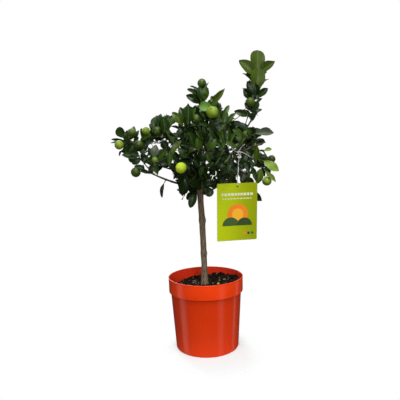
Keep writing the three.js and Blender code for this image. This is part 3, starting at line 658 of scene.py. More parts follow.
# How closely the marks in the bark follow each other, round the limb and along it.
CRACK_PACE = (0.55, 0.10)
SWELL_PACE = (0.08, 0.03)
PORE_PACE = (0.5, 1.1)
FINE_CRACKS = 2.3
CRACK_DEPTH = 0.34
CRACK_MIDDLE = 0.8
CRACK_SHARPNESS = 0.6
FINE_SHARPNESS = 0.7
BROAD_SWELL = 0.9
PORE_HEIGHT = 0.88
PORE_FROM = 0.42
BARK_BROWN = (0.165, 0.098, 0.058, 1)
BARK_GREY = (0.195, 0.145, 0.089, 1)
BARK_DARK = (0.045, 0.030, 0.020, 1)
UP = Vector((0, 0, 1))
SIDE = Vector((1, 0, 0))
NEARLY_UPRIGHT = 0.9


def trunk_point(share):
    for low, high in zip(TRUNK_BENDS, TRUNK_BENDS[1:]):
        if share <= high[0]:
            break
    t = min(max((share - low[0]) / (high[0] - low[0]), 0), 1)
    blend = t * t * (3 - 2 * t)
    return Vector((
        low[1] + (high[1] - low[1]) * blend,
        low[2] + (high[2] - low[2]) * blend,
        TRUNK_FOOT + share * (TRUNK_FORK - TRUNK_FOOT)))


def trunk_radius(share):
    height = share * (TRUNK_FORK - TRUNK_FOOT)
    flare = (FLARE_RADIUS - TRUNK_RADIUS) * exp(-height / FLARE_HEIGHT)
    fork = (FORK_RADIUS - TRUNK_RADIUS) * share ** FORK_SPREAD
    knots = sum(swell * exp(-((share - at) / KNOT_LENGTH) ** 2) for at, swell, _ in TRUNK_KNOTS)
    rounding = sqrt(1 - max(0, (share - TOP_ROUNDS_FROM) / TOP_ROUNDS_OVER))
    return (TRUNK_RADIUS + flare + fork + knots) * rounding


def ring_frames(path):
    """A point, a heading and two cross directions for each ring, with no twist from one to the next."""
    side = None
    for i, point in enumerate(path):
        heading = (path[min(i + 1, len(path) - 1)] - path[max(i - 1, 0)]).normalized()
        if side is None:
            side = UP if abs(heading.z) < NEARLY_UPRIGHT else SIDE
        side = (side - heading * side.dot(heading)).normalized()
        yield point, side, heading.cross(side)


def add_limb(points, faces, path, radii, sides, relief):
    """Adds one closed limb of rings to a mesh in the making; relief is worked out for every point."""
    first = len(points)
    for (point, side, other), radius in zip(ring_frames(path), radii):
        for k in range(sides):
            angle = FULL_TURN * k / sides
            outward = side * cos(angle) + other * sin(angle)
            points.append((point + outward * (radius + relief(point + outward * radius, outward))) * MM)
    points.append(path[0] * MM)
    points.append(path[-1] * MM + (path[-1] - path[-2]).normalized() * radii[-1] * TIP_ROUNDNESS * MM)
    faces.extend(ring_faces(first, len(path), sides, len(points) - 2, len(points) - 1))


def paced(spot, around, along):
    return Vector((spot.x * around, spot.y * around, spot.z * along))


def bark_relief(spot, outward):
    """Long cracks and slow swellings, with small pores that lie across them."""
    cracks = abs(noise.noise(paced(spot, *CRACK_PACE))) ** CRACK_SHARPNESS
    fine = abs(noise.noise(paced(spot, *CRACK_PACE) * FINE_CRACKS + UP * 7)) ** FINE_SHARPNESS
    broad = noise.noise(paced(spot, *SWELL_PACE))
    pores = max(0, noise.noise(paced(spot, *PORE_PACE) + UP * 31) - PORE_FROM)
    return CRACK_DEPTH * (cracks + 0.5 * fine - CRACK_MIDDLE) + BROAD_SWELL * broad + PORE_HEIGHT * pores


def trunk_relief(spot, outward):
    share = (spot.z - TRUNK_FOOT) / (TRUNK_FORK - TRUNK_FOOT)
    bump = 0
    for at, _, facing in TRUNK_KNOTS:
        turn = outward.angle(Vector((cos(facing), sin(facing), 0))) / KNOT_WIDTH
        rise = (share - at) / (KNOT_HEIGHT * KNOT_LENGTH)
        away = sqrt(turn ** 2 + rise ** 2)
        bump += KNOT_BUMP * (exp(-away ** 2) - KNOT_DENT * exp(-(away / DENT_REACH) ** 2))
    foot = max(0, 1 - share * ROOT_FADE)
    ridges = ROOT_RIDGE * foot * cos(ROOT_RIDGES * atan2(outward.y, outward.x) + ROOT_TURN)
    return bark_relief(spot, outward) + bump + ridges


def bark(name, foot_colour, top_colour, dark_colour, bump_strength):
    """Weathered bark: streaks along the limb, darker in the cracks, with grey bloom in patches."""
    finish = Finish(name)
    streak = finish.noise(scale=420, detail=6, stretch=(1, 1, 0.16))
    patch = finish.noise(scale=55, detail=4)
    grain = finish.noise(scale=1500, detail=3)
    climb = finish.clamped(finish.part(finish.place, "Z") + 0.05 * patch, 0.25, 0.45)
    base = finish.blend(climb, foot_colour, top_colour)
    patched = finish.blend(finish.clamped(patch, 0.5, 0.72) * 0.55, base, BARK_GREY)
    cracked = finish.blend(finish.clamped(streak, 0.54, 0.38) * 0.9, patched, dark_colour)
    return finish.done(cracked, 0.72 + 0.2 * grain, streak + 0.4 * grain, bump_strength)


trunk_points = []
trunk_faces = []
trunk_shares = spread(0, 1, TRUNK_RINGS)
trunk_path = [trunk_point(share) for share in trunk_shares]
trunk_path[0] = trunk_path[0] - UP * TRUNK_BURIED
trunk_radii = [trunk_radius(share) for share in trunk_shares]
add_limb(trunk_points, trunk_faces, trunk_path, trunk_radii, TRUNK_SIDES, trunk_relief)
trunk = add_piece("trunk_bark", mesh_of("trunk_bark", trunk_points, trunk_faces),
                  bark("grey_brown_bark", BARK_GREY, BARK_BROWN, BARK_DARK, 0.55))
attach(trunk, "root")
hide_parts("trunk")


# The boughs: tapering limbs that leave the fork and each other, each with a thick collar at its foot, in
# young bark that is grey-brown on the stout ones and turns green towards the tips.
# Each bough: the limb it leaves and at what share of it, its tip, its radius at foot and tip, and its bow.
Bough = namedtuple("Bough", "name limb at tip radii bow")
BOUGHS = [
    Bough("bough_centre", "trunk", 0.995, (-2, 5, 612), (5.2, 2.4), 8),
    Bough("bough_left", "trunk", 0.985, (-99, 5, 550), (4.4, 2.2), -10),
    Bough("bough_right", "trunk", 0.985, (112, 10, 546), (4.8, 2.6), -12),
    Bough("bough_front", "trunk", 0.975, (9, -84, 506), (4.0, 2.4), -6),
    Bough("bough_back", "trunk", 0.97, (4, 84, 524), (4.2, 2.6), -8),
    Bough("bough_left_low", "trunk", 0.93, (-143, -26, 475), (3.4, 2.0), -14),
    Bough("bough_right_low", "trunk", 0.93, (84, -6, 466), (3.4, 2.2), -3),
    Bough("bough_left_riser", "bough_left_low", 0.86, (-166, -14, 515), (1.8, 1.5), -4),
    Bough("bough_left_spur", "bough_left_low", 0.6, (-97, -24, 448), (1.3, 1.1), 2),
    Bough("bough_front_left", "bough_left", 0.3, (-98, -60, 484), (3.0, 1.9), -5),
    Bough("bough_crown_left", "bough_centre", 0.4, (-38, -32, 578), (2.8, 1.9), 2),
    Bough("bough_crown_front", "bough_front", 0.6, (26, -66, 578), (2.4, 1.8), -4),
    Bough("bough_front_rise", "bough_front", 0.45, (-22, -62, 530), (2.3, 1.8), -3),
    Bough("bough_crown_right", "bough_right", 0.42, (62, -28, 578), (2.7, 1.9), 4),
    Bough("bough_right_front", "bough_right", 0.36, (116, -66, 524), (2.6, 1.9), -3),
    Bough("bough_leader", "bough_right", 0.84, (135, 8, 604), (2.6, 2.0), 5),
    Bough("bough_leader_side", "bough_leader", 0.2, (123, 1, 608), (1.7, 1.4), 2),
    Bough("bough_right_far", "bough_right", 0.78, (150, 2, 521), (1.9, 1.5), 6),
    Bough("bough_back_left", "bough_back", 0.35, (-84, 96, 534), (3.1, 2.0), -6),
    Bough("bough_back_right", "bough_back", 0.5, (86, 92, 532), (2.9, 1.9), -6),
    Bough("bough_back_top", "bough_back", 0.72, (22, 52, 596), (2.4, 1.8), 5),
    Bough("bough_low_front", "bough_front", 0.3, (-10, -52, 452), (2.2, 1.7), 2),
    Bough("bough_low_left", "bough_left_low", 0.26, (-50, -36, 450), (2.2, 1.7), 2),
    Bough("bough_low_right", "bough_right_low", 0.3, (32, -34, 455), (2.2, 1.7), 2),
    Bough("bough_low_back", "bough_back", 0.3, (-8, 52, 458), (2.2, 1.7), 2),
]
BOUGH_STEPS = 3
BOUGH_RINGS = 26
BOUGH_SIDES = 14
BOUGH_RELIEF = 0.5
COLLAR_SWELL = 0.45
COLLAR_LENGTH = 9
NODE_SPACING = 13
NODE_SWELL = 0.12
NODE_SHARPNESS = 6
TWIG_BROWN = (0.075, 0.058, 0.032, 1)
TWIG_GREEN = (0.048, 0.064, 0.020, 1)
TWIG_DARK = (0.022, 0.022, 0.012, 1)


def length_of(path):
    return sum((b - a).length for a, b in zip(path, path[1:]))


def point_along(path, share):
    lengths = [(b - a).length for a, b in zip(path, path[1:])]
    rest = share * sum(lengths)
    i = 0
    while i < len(lengths) - 1 and rest > lengths[i]:
        rest -= lengths[i]
        i += 1
    heading = (path[i + 1] - path[i]).normalized()
    return path[i] + heading * rest, heading


def bowed_path(start, tip, heading, bow, steps):
    """A curve that leaves start along heading and ends at the tip, its middle raised by bow."""
    middle = start + heading * (0.5 * (tip - start).length) + UP * bow
    return [start * (1 - t) ** 2 + middle * 2 * t * (1 - t) + tip * t ** 2 for t in spread(0, 1, steps)]


def bough_radius(bough, share, length):
    plain = bough.radii[0] + (bough.radii[1] - bough.radii[0]) * share
    collar = 1 + COLLAR_SWELL * exp(-share * length / COLLAR_LENGTH)
    joint = max(0, cos(FULL_TURN * share * length / NODE_SPACING)) ** NODE_SHARPNESS
    return plain * collar * (1 + NODE_SWELL * joint)


def bough_relief(spot, outward):
    return BOUGH_RELIEF * bark_relief(spot, outward)


Limb = namedtuple("Limb", "path radii curve")
limbs = {"trunk": Limb([trunk_point(share) for share in spread(0, 1, TRUNK_STEPS)], None, None)}
bough_points = []
bough_faces = []
for bough in BOUGHS:
    start, _ = point_along(limbs[bough.limb].path, bough.at)
    tip = Vector(bough.tip)
    heading = (tip - start).normalized()
    coarse = bowed_path(start, tip, heading, bough.bow, BOUGH_STEPS)
    curve = bowed_path(start, tip, heading, bough.bow, BOUGH_RINGS)
    limbs[bough.name] = Limb(coarse, bough.radii, curve)
    radii = [bough_radius(bough, share, (tip - start).length) for share in spread(0, 1, BOUGH_RINGS)]
    add_limb(bough_points, bough_faces, curve, radii, BOUGH_SIDES, bough_relief)
bough_bark = add_piece("bough_bark", mesh_of("bough_bark", bough_points, bough_faces),
                       bark("young_bark", TWIG_BROWN, TWIG_GREEN, TWIG_DARK, 0.4))
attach(bough_bark, "root")
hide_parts(*(bough.name for bough in BOUGHS))


# The twigs: each mass of leaves grows from one green stem that carries on from its bough's tip, with side
# shoots a golden angle apart and finer twigs on those, the fruits' stalks among them.
# Each mass: the bough it grows on, its stem's tip, how many shoots leave the stem and how far they spread,
# how many leaves a shoot has and their length, the mass's reach, its seed, and its fruits. Each fruit: its
# middle, its diameter and its tint.
Mass = namedtuple("Mass", "name bough tip shoots spread leaves length reach seed fruit")
MASSES = [
    Mass("mass_leader", "bough_leader", (149, 9, 736), 0, 0, 14, 36, 62, 8,
         [(129, -8, 645, 26, "green")]),
    Mass("mass_leader_side", "bough_leader_side", (112, -4, 628), 0, 0, 4, 34, 50, 8, []),
    Mass("mass_top", "bough_centre", (4, -10, 676), 1, 36, 6, 38, 60, 11, [(5, -22, 694, 23, "green")]),
    Mass("mass_crown_front", "bough_crown_front", (36, -68, 628), 2, 46, 7, 44, 70, 1,
         [(27, -84, 611, 31, "turning")]),
    Mass("mass_crown_left", "bough_crown_left", (-36, -42, 610), 2, 44, 7, 44, 66, 1,
         [(-12, -62, 599, 25, "green")]),
    Mass("mass_crown_right", "bough_crown_right", (68, -34, 612), 2, 44, 7, 44, 66, 10, []),
    Mass("mass_left_tip", "bough_left_riser", (-190, -14, 560), 2, 38, 6, 38, 60, 8,
         [(-212, -25, 544, 24, "turning"), (-160, -30, 542, 24, "shaded"),
          (-178, -25, 573, 25, "green")]),
    Mass("mass_left_low", "bough_left_low", (-164, -34, 482), 0, 0, 4, 36, 45, 2,
         [(-171, -32, 473, 26, "shaded")]),
    Mass("mass_left_spur", "bough_left_spur", (-99, -24, 443), 0, 0, 0, 40, 50, 2, []),
    Mass("mass_left_upper", "bough_left", (-108, -2, 588), 2, 44, 7, 44, 66, 2,
         [(-143, -15, 578, 22, "turning"), (-114, -20, 577, 26, "shaded")]),
    Mass("mass_front_left", "bough_front_left", (-108, -80, 508), 2, 44, 7, 44, 70, 6,
         [(-51, -110, 480, 27, "bright"), (-115, -90, 501, 15, "turning")]),
    Mass("mass_front", "bough_front", (8, -122, 540), 3, 52, 7, 45, 80, 7, []),
    Mass("mass_centre", "bough_front_rise", (-32, -86, 560), 2, 44, 6, 44, 66, 8, []),
    Mass("mass_right", "bough_right", (130, 4, 562), 2, 36, 5, 42, 56, 3, [(115, -20, 560, 22, "green")]),
    Mass("mass_right_front", "bough_right_front", (124, -88, 530), 2, 38, 6, 42, 62, 8, []),
    Mass("mass_right_tip", "bough_right_far", (172, 4, 466), 1, 22, 3, 34, 40, 7,
         [(187, 20, 497, 21, "shaded"), (169, -5, 439, 25, "turning")]),
    Mass("mass_right_low", "bough_right_low", (104, -2, 462), 2, 42, 6, 44, 66, 6, []),
    Mass("mass_back_left", "bough_back_left", (-124, 106, 566), 3, 52, 4, 45, 80, 2,
         [(-110, 150, 552, 26, "green")]),
    Mass("mass_back", "bough_back", (-4, 132, 552), 3, 54, 5, 45, 85, 6, [(22, 168, 536, 28, "green")]),
    Mass("mass_back_right", "bough_back_right", (122, 106, 558), 3, 50, 4, 45, 80, 3,
         [(150, 118, 534, 25, "shaded")]),
    Mass("mass_back_top", "bough_back_top", (28, 62, 630), 2, 44, 5, 44, 70, 5,
         [(60, 84, 624, 25, "green")]),
    Mass("mass_low_front", "bough_low_front", (-6, -98, 462), 2, 42, 6, 42, 62, 2, []),
    Mass("mass_low_left", "bough_low_left", (-44, -50, 424), 1, 30, 5, 38, 48, 11, []),
    Mass("mass_low_right", "bough_low_right", (40, -44, 450), 1, 30, 5, 40, 50, 10, []),
    Mass("mass_low_back", "bough_low_back", (-10, 96, 452), 2, 42, 5, 44, 70, 5, []),
]
HASH_START = 2166136261
HASH_STEP = 16777619
HASH_MIX = 2246822519
HASH_RANGE = 2 ** 32
GOLDEN_ANGLE = radians(137.5)
STEM_RADIUS = 1.8
SHOOT_RADIUS = 1.3
TIP_RADIUS = 1.0
STEM_STEPS = 3
STEM_CURVE_STEPS = 12
SHOOT_STEPS = 2
SHOOT_CURVE_STEPS = 8
STEM_BARE = 0.25
SHOOT_BARE = 0.35
EXTRA_STEM_LEAVES = 2
FIRST_SHOOT = 0.2
SHOOT_STRETCH = 0.65
LOWEST_LENGTH = 1.1
SHORTER_UP_STEM = 0.3
SHOOT_LENGTH_SPREAD = 0.15
SHOOT_OUT = 0.85
SHOOT_FORWARD = 0.35
SHOOT_RISE = 0.2
SHOOT_START_FORWARD = 0.3
SHOOT_UPRIGHT = 0.95
# The last key of each kind of draw.
WANDER, ANGLE, LENGTH, ROLL, FIRST_TURN, SHOOT_LENGTH, FIRST_LEAF = 1, 2, 3, 4, 7, 8, 99
TINT, FORM, WIDTH, COUNT, PLACED_FORM, ASIDE = range(31, 37)
EDGE_ROLL, EDGE_HANG, EDGE_ANGLE, EDGE_LENGTH, EDGE_FORM = range(37, 42)
# What the solid of a mass kept: a shoot or leaf of the rule is there if the solid has a corner at its tip.
SHOOT_NEAR = 1.7
LEAF_NEAR = 0.25


def draw(*keys):
    """A repeatable number from 0 to 1 for some whole numbers, so that every leaf has draws of its own."""
    value = HASH_START
    for key in keys:
        value = ((value ^ (key + 1)) * HASH_STEP) % HASH_RANGE
        value = ((value ^ (value >> 15)) * HASH_MIX) % HASH_RANGE
        value ^= value >> 13
    return value / HASH_RANGE


def even_draw(*keys):
    return 2 * draw(*keys) - 1


def turned(vector, axis, angle):
    made = vector.copy()
    made.rotate(Quaternion(axis, angle))
    return made


def cross_direction(axis):
    side = UP if abs(axis.z) < SHOOT_UPRIGHT else SIDE
    return (side - axis * side.dot(axis)).normalized()


def tree_of(points):
    made = kdtree.KDTree(len(points))
    for i, point in enumerate(points):
        made.insert(point, i)
    made.balance()
    return made


Shoot = namedtuple("Shoot", "path curve key leaves bare")
shoots = {}
twig_lines = []
solid_corners = {
    mass.name: tree_of([corner.co / MM for corner in frame["nodes"][mass.name].data.vertices])
    for mass in MASSES}


def shoot_of(mass, stem, j):
    along = FIRST_SHOOT + SHOOT_STRETCH * (j + 0.5) / mass.shoots
    point, axis = point_along(stem, along)
    turn = GOLDEN_ANGLE * j + FULL_TURN * draw(mass.seed, FIRST_TURN)
    outward = turned(cross_direction(axis), axis, turn)
    length = mass.spread * (LOWEST_LENGTH - SHORTER_UP_STEM * along)
    length *= 1 + SHOOT_LENGTH_SPREAD * even_draw(mass.seed, j, SHOOT_LENGTH)
    end = point + outward * (length * SHOOT_OUT) + axis * (length * SHOOT_FORWARD)
    end += UP * (length * SHOOT_RISE)
    heading = (outward + axis * SHOOT_START_FORWARD).normalized()
    path = bowed_path(point, end, heading, 0, SHOOT_STEPS)
    return Shoot(path, bowed_path(point, end, heading, 0, SHOOT_CURVE_STEPS), j + 1, mass.leaves, SHOOT_BARE)


for mass in MASSES:
    bough = limbs[mass.bough]
    start, heading = point_along(bough.path, 1)
    stem = bowed_path(start, Vector(mass.tip), heading, 0, STEM_STEPS)
    stem_curve = bowed_path(start, Vector(mass.tip), heading, 0, STEM_CURVE_STEPS)
    stem_leaves = mass.leaves + (EXTRA_STEM_LEAVES if mass.shoots else 0)
    shoots[mass.name] = [Shoot(stem, stem_curve, 0, stem_leaves, STEM_BARE)]
    twig_lines.append((stem_curve, min(STEM_RADIUS, bough.radii[1]), TIP_RADIUS))
    for j in range(mass.shoots):
        shoot = shoot_of(mass, stem, j)
        if solid_corners[mass.name].find(shoot.path[-1])[2] < SHOOT_NEAR:
            shoots[mass.name].append(shoot)
            twig_lines.append((shoot.curve, SHOOT_RADIUS, TIP_RADIUS))


# The leaves' places: first those that are told apart in the photograph, each at its own place there. Then
# those of the rule that the solids kept, leaves seen edge-on along the twigs that come forward, and smaller
# ones on finer twigs wherever there is room within the mass's reach and the crown isn't open.
LEAF_FOOT_ANGLE = 74
LEAF_TIP_ANGLE = 30
LEAF_ANGLE_SPREAD = 10
LEAF_LENGTH_SPREAD = 0.16
LEAF_TIP_SHORTER = 0.12
LEAF_CROWDING = 0.8
LEAF_WANDER = 0.4
LEAF_LIFT = 0.2
LEAF_FACE_LIFT = 0.35
LEAF_ROLL = 0.35
LEAF_ROOT_OUT = 0.2
LEAF_WIDTH = 0.56
LEAF_WIDTH_SPREAD = 0.1
USUAL_FACING = 1.4
LEAFY_END = 0.99
LEAF_TRIES = (0, 0.45, -0.45, 0.9, -0.9)
KEPT_SWINGS = (0, 0.5, -0.5, 1, -1, 1.6, -1.6, 2.3, -2.3)
KEPT_SHORTER = 0.06
FINE_SPACING = 6
FINE_ALONG = (0.22, 0.95)
FINE_OUT = 0.8
FINE_FORWARD = 0.45
FINE_RISE = 0.25
FINE_START_FORWARD = 0.5
FINE_STEPS = 5
FINE_LENGTH = (15, 30)
FINE_RADIUS = (0.85, 0.6)
FINE_LEAVES = (3, 6)
FEWEST_LEAVES = 2
FINE_KEY = 200
SHOOT_KEYS = 20
FINE_LEAF_SHARE = 0.8
FINE_REACH = 0.86
ROOM = 4.0
ROOM_SHARES = (0.4, 0.65, 0.9)
LEAF_FORMS = 8
BLUNT_FORMS = 2
BLUNT_FROM = 0.6
DEEP_BELOW = 0.34
DARK_BELOW = 0.82
# The fourth tint is a painted sheen: a paler, greyer green for leaves that catch a gloss.
TINTS = ("deep", "dark", "mid", "sheen", "olive", "fresh", "lime")
PALE_TINTS = ("sheen", "olive", "fresh", "lime")
PLACED_ASIDE = 0.6
PLACED_STEPS = 6
EDGE_ON_ROLL = 1.1
EDGE_ON_HANGING = 0.35
EDGE_ON_ANGLE = 38
EDGE_ON_SPREAD = 18
EDGE_ON_FROM = -35
EDGE_ON_SPACING = 8
EDGE_ON_LENGTH = 36
CROWN_FRONT = -162
FRONT = Vector((0, -1, 0))
# Spaces kept open: low and high corners of the label's and its tie's, and the sky seen through and around
# the crown, as spots of the picture with their radius.
KEPT_OPEN = [((30, -220, 280), (145, -14, 438)), ((84, -220, 436), (98, -40, 500))]
SKY = [
    (228, 96, 5.5), (237, 105, 6), (245, 106, 4), (241, 117.5, 4.5), (246, 121, 2.5), (251.5, 124, 2.5),
    (257, 122, 3), (268, 138.5, 2.5), (262, 137.5, 1.5), (264, 146.5, 3), (272, 144, 4), (278, 140, 5),
    (195, 104, 4), (195, 79, 4.5), (269, 72, 3), (263, 123.5, 3.5), (257, 126, 2.5), (225, 104, 4),
    (263, 104, 3), (216, 98, 1.5), (185, 102, 4.5), (176, 108, 5), (206, 96, 3), (212, 92, 4),
    (175, 130, 4), (177, 124.5, 2), (164, 112, 3), (171, 112, 3.5), (155, 142.5, 3.5), (151, 145.5, 3),
    (148, 149, 3), (160, 146, 3), (161, 149, 2), (123, 163, 3), (126, 166, 4), (144, 161, 2.5),
    (150, 163, 1.5), (165, 171, 5), (161, 174, 3), (172, 175, 3.5), (173, 186, 4), (170, 190, 6),
    (177, 197, 4), (187, 202, 3), (188, 194, 1.5), (215, 188, 2), (238, 178, 3.5), (264, 95, 4),
    (262, 84, 2.5), (270, 96, 4), (246, 79, 2), (241, 84, 4), (240, 92, 3), (240, 100, 5), (140, 131, 2),
    (133, 142, 1.5), (122, 140, 1.2), (112, 134, 3), (116, 150, 4), (128, 169, 4), (228, 133, 1.5),
    (209, 172, 2), (213, 178, 2), (247, 167, 3), (246, 175, 2), (233, 170, 2)]
# Where the tie shows in the picture: its strand above the card, its upper knot, and its ends with their sag.
TIE_DEPTH = -72
TIE_STRAND = (237.5, 185)
TIE_KNOT = (238, 152)
TIE_ENDS = [(250.5, 157, 3), (231, 147, -3), (245, 144, 2)]
TIE_SHOWN_STEPS = 9
FRUIT_SHOWN = 0.3
FRUIT_RIM_STEPS = 7
# Where twigs may leave a shoot or bough: from and to which share of it, in how many steps.
SHOOT_STANDS = (0.1, 0.98, 16)
BOUGH_STANDS = (0.3, 1, 16)
PICTURE_SIZE = 400
PICTURE_MIDDLE = PICTURE_SIZE / 2
NEAR_STAND = 2.5
BLADE_SHARES = (0.3, 0.5, 0.7, 0.86, 1)
BLADE_HALF = 0.4
VIEW_CELL = 4
SHOWN_NEAR = 3
SHOWN_BEHIND = 3
NEXT_TO = (-1, 0, 1)
Leaf = namedtuple("Leaf", "root turn length width form")
leaves = {tint: [] for tint in TINTS}
camera_spot = Vector(CAMERA_PLACE) / MM
room_cells = {}
shown_cells = {}
whole_cells = {}
forward_twigs = []


def leaf_turn(direction, face):
    across = direction.cross(face).normalized()
    raised = across.cross(direction).normalized()
    return Matrix((across, direction, raised)).transposed()


def room_samples(root, direction, length):
    """Spots along a blade that no other leaf's may come near, each with the cell of space it lies in."""
    for share in ROOM_SHARES:
        sample = root + direction * (length * share)
        yield sample, tuple(int(part // ROOM) for part in sample)


def is_crowded(root, direction, length):
    for sample, (x, y, z) in room_samples(root, direction, length):
        for cell in ((x + i, y + j, z + k) for i in NEXT_TO for j in NEXT_TO for k in NEXT_TO):
            if any((sample - other).length < ROOM for other in room_cells.get(cell, ())):
                return True
    return False


def seen_at(x, y, depth):
    """The spot that shows at a place of the picture, depth being how far behind the trunk it is."""
    sight = Vector((x - PICTURE_MIDDLE, PICTURE_MIDDLE - y, -PICTURE_SIZE * CAMERA_LENS / SENSOR_WIDTH))
    sight = aimed @ sight
    return camera_spot + sight * ((depth - camera_spot.y) / sight.y)


def picture_place(point):
    sight = aimed.transposed() @ (point - camera_spot)
    scale = PICTURE_SIZE * CAMERA_LENS / SENSOR_WIDTH / -sight.z
    return PICTURE_MIDDLE + sight.x * scale, PICTURE_MIDDLE - sight.y * scale


def blade_spots(root, direction, face, length, width):
    """Spots along a blade's rib and edges."""
    across = direction.cross(face).normalized() * (BLADE_HALF * length * width)
    for share in BLADE_SHARES:
        spot = root + direction * (length * share)
        yield spot
        if share < 1:
            yield spot + across
            yield spot - across


def show(spots, whole):
    """Marks spots that show in the photograph. No face may hide them, and no edge if they show whole."""
    for spot in spots:
        x, y = picture_place(spot)
        for cells in (shown_cells, whole_cells) if whole else (shown_cells,):
            cells.setdefault((int(x // VIEW_CELL), int(y // VIEW_CELL)), []).append((x, y, spot.y))


def is_in_the_way(spots, seen_cells):
    """True if a blade would lie in a kept space, against the sky, or before a leaf or fruit that shows."""
    for spot in spots:
        for low, high in KEPT_OPEN:
            if all(a <= part <= b for a, part, b in zip(low, spot, high)):
                return True
        x, y = picture_place(spot)
        if any((x - gap_x) ** 2 + (y - gap_y) ** 2 < radius ** 2 for gap_x, gap_y, radius in SKY):
            return True
        column, row = int(x // VIEW_CELL), int(y // VIEW_CELL)
        for cell in ((column + i, row + j) for i in NEXT_TO for j in NEXT_TO):
            for shown_x, shown_y, depth in seen_cells.get(cell, ()):
                near = (x - shown_x) ** 2 + (y - shown_y) ** 2 < SHOWN_NEAR ** 2
                if near and spot.y < depth + SHOWN_BEHIND:
                    return True
    return False


def finds_room(root, direction, face, length, width, seen_cells=shown_cells):
    if is_crowded(root, direction, length):
        return False
    return not is_in_the_way(blade_spots(root, direction, face, length, width), seen_cells)


def put_leaf(root, direction, face, length, width, tint, form):
    leaves[tint].append(Leaf(root, leaf_turn(direction, face), length, width, form))
    for sample, cell in room_samples(root, direction, length):
        room_cells.setdefault(cell, []).append(sample)


def reach_from(mass, point):
    start = shoots[mass.name][0].path[0]
    line = Vector(mass.tip) - start
    share = min(max((point - start).dot(line) / line.length_squared, 0), 1)
    return (start + line * share - point).length


def common_tint(*keys):
    chance = draw(*keys, TINT)
    if chance < DEEP_BELOW:
        return "deep"
    return "dark" if chance < DARK_BELOW else "mid"


def drawn_form(*keys):
    return int(draw(*keys) * LEAF_FORMS)


def leaf_of(mass, shoot, i, turn, size):
    """One leaf of the source's rule: its root, direction, face and length."""
    keys = (mass.seed, shoot.key, i)
    share = i / (shoot.leaves - 1) if shoot.leaves > 1 else 1
    along = shoot.bare + (LEAFY_END - shoot.bare) * share ** LEAF_CROWDING
    point, axis = point_along(shoot.path, along)
    azimuth = GOLDEN_ANGLE * i + FULL_TURN * draw(mass.seed, shoot.key, FIRST_LEAF)
    azimuth += LEAF_WANDER * even_draw(*keys, WANDER)
    angle = LEAF_FOOT_ANGLE + (LEAF_TIP_ANGLE - LEAF_FOOT_ANGLE) * share
    angle = radians(angle + LEAF_ANGLE_SPREAD * even_draw(*keys, ANGLE))
    length = size * (1 - LEAF_TIP_SHORTER * share) * (1 + LEAF_LENGTH_SPREAD * even_draw(*keys, LENGTH))
    outward = turned(cross_direction(axis), axis, azimuth + turn)
    direction = (axis * cos(angle) + outward * sin(angle) + UP * LEAF_LIFT).normalized()
    face = turned(axis + UP * LEAF_FACE_LIFT, direction, LEAF_ROLL * even_draw(*keys, ROLL))
    return point + outward * LEAF_ROOT_OUT, direction, face, length


def edge_on_leaf(root, length, *keys):
    """A leaf on a twig that comes forward, seen by its edge from the front and by its face from the side."""
    sight = (camera_spot - root).normalized()
    roll = EDGE_ON_ROLL * even_draw(*keys, EDGE_ROLL)
    if draw(*keys, EDGE_HANG) < EDGE_ON_HANGING:
        roll += FULL_TURN / 2
    out = turned(cross_direction(sight), sight, roll)
    angle = radians(EDGE_ON_ANGLE + EDGE_ON_SPREAD * even_draw(*keys, EDGE_ANGLE))
    direction = sight * cos(angle) + out * sin(angle)
    size = length * (1 + LEAF_LENGTH_SPREAD * even_draw(*keys, EDGE_LENGTH))
    blade = (root, direction, sight.cross(out), size, LEAF_WIDTH)
    if (root + direction * size).y < CROWN_FRONT or not finds_room(*blade, whole_cells):
        return []
    return [(*blade, common_tint(*keys), drawn_form(*keys, EDGE_FORM))]


def kept_leaf(mass, shoot, i):
    """The leaf of the rule that the solid kept, turned about its twig where it would hide a placed one."""
    keys = (mass.seed, shoot.key, i)
    for turn in LEAF_TRIES:
        root, direction, _, length = leaf_of(mass, shoot, i, turn, mass.length)
        if solid_corners[mass.name].find(root + direction * length)[2] < LEAF_NEAR:
            break
    else:
        return []
    width = LEAF_WIDTH * (1 + LEAF_WIDTH_SPREAD * even_draw(*keys, WIDTH))
    for swing in KEPT_SWINGS:
        blade = leaf_of(mass, shoot, i, turn + swing, mass.length * (1 - KEPT_SHORTER * abs(swing)))
        if finds_room(*blade, width):
            return [(*blade, width, common_tint(*keys), drawn_form(*keys, FORM))]
    return edge_on_leaf(root, mass.length, *keys) if root.y < EDGE_ON_FROM else []


def grow_fine_twig(mass, shoot, n, along):
    """A finer twig on a shoot, kept with those of its leaves that find room, if two or more do."""
    key = FINE_KEY + SHOOT_KEYS * shoot.key + n
    point, axis = point_along(shoot.curve, along)
    turn = GOLDEN_ANGLE * n + FULL_TURN * draw(mass.seed, key, FIRST_TURN)
    outward = turned(cross_direction(axis), axis, turn)
    length = FINE_LENGTH[0] + (FINE_LENGTH[1] - FINE_LENGTH[0]) * draw(mass.seed, key, SHOOT_LENGTH)
    end = point + (outward * FINE_OUT + axis * FINE_FORWARD + UP * FINE_RISE).normalized() * length
    heading = (outward + axis * FINE_START_FORWARD).normalized()
    path = bowed_path(point, end, heading, 0, FINE_STEPS)
    count = FINE_LEAVES[0] + int((FINE_LEAVES[1] - FINE_LEAVES[0]) * draw(mass.seed, key, COUNT))
    fine = Shoot(path, path, key, count, SHOOT_BARE)
    kept = []
    for i in range(count):
        for turn in LEAF_TRIES:
            blade = leaf_of(mass, fine, i, turn, mass.length * FINE_LEAF_SHARE)
            root, direction, _, size = blade
            in_reach = reach_from(mass, root + direction * size) <= FINE_REACH * mass.reach
            if in_reach and finds_room(*blade, LEAF_WIDTH):
                kept.append((blade, i))
                break
    if len(kept) < FEWEST_LEAVES:
        return
    twig_lines.append((path, *FINE_RADIUS))
    for blade, i in kept:
        keys = (mass.seed, key, i)
        put_leaf(*blade, LEAF_WIDTH, common_tint(*keys), drawn_form(*keys, FORM))


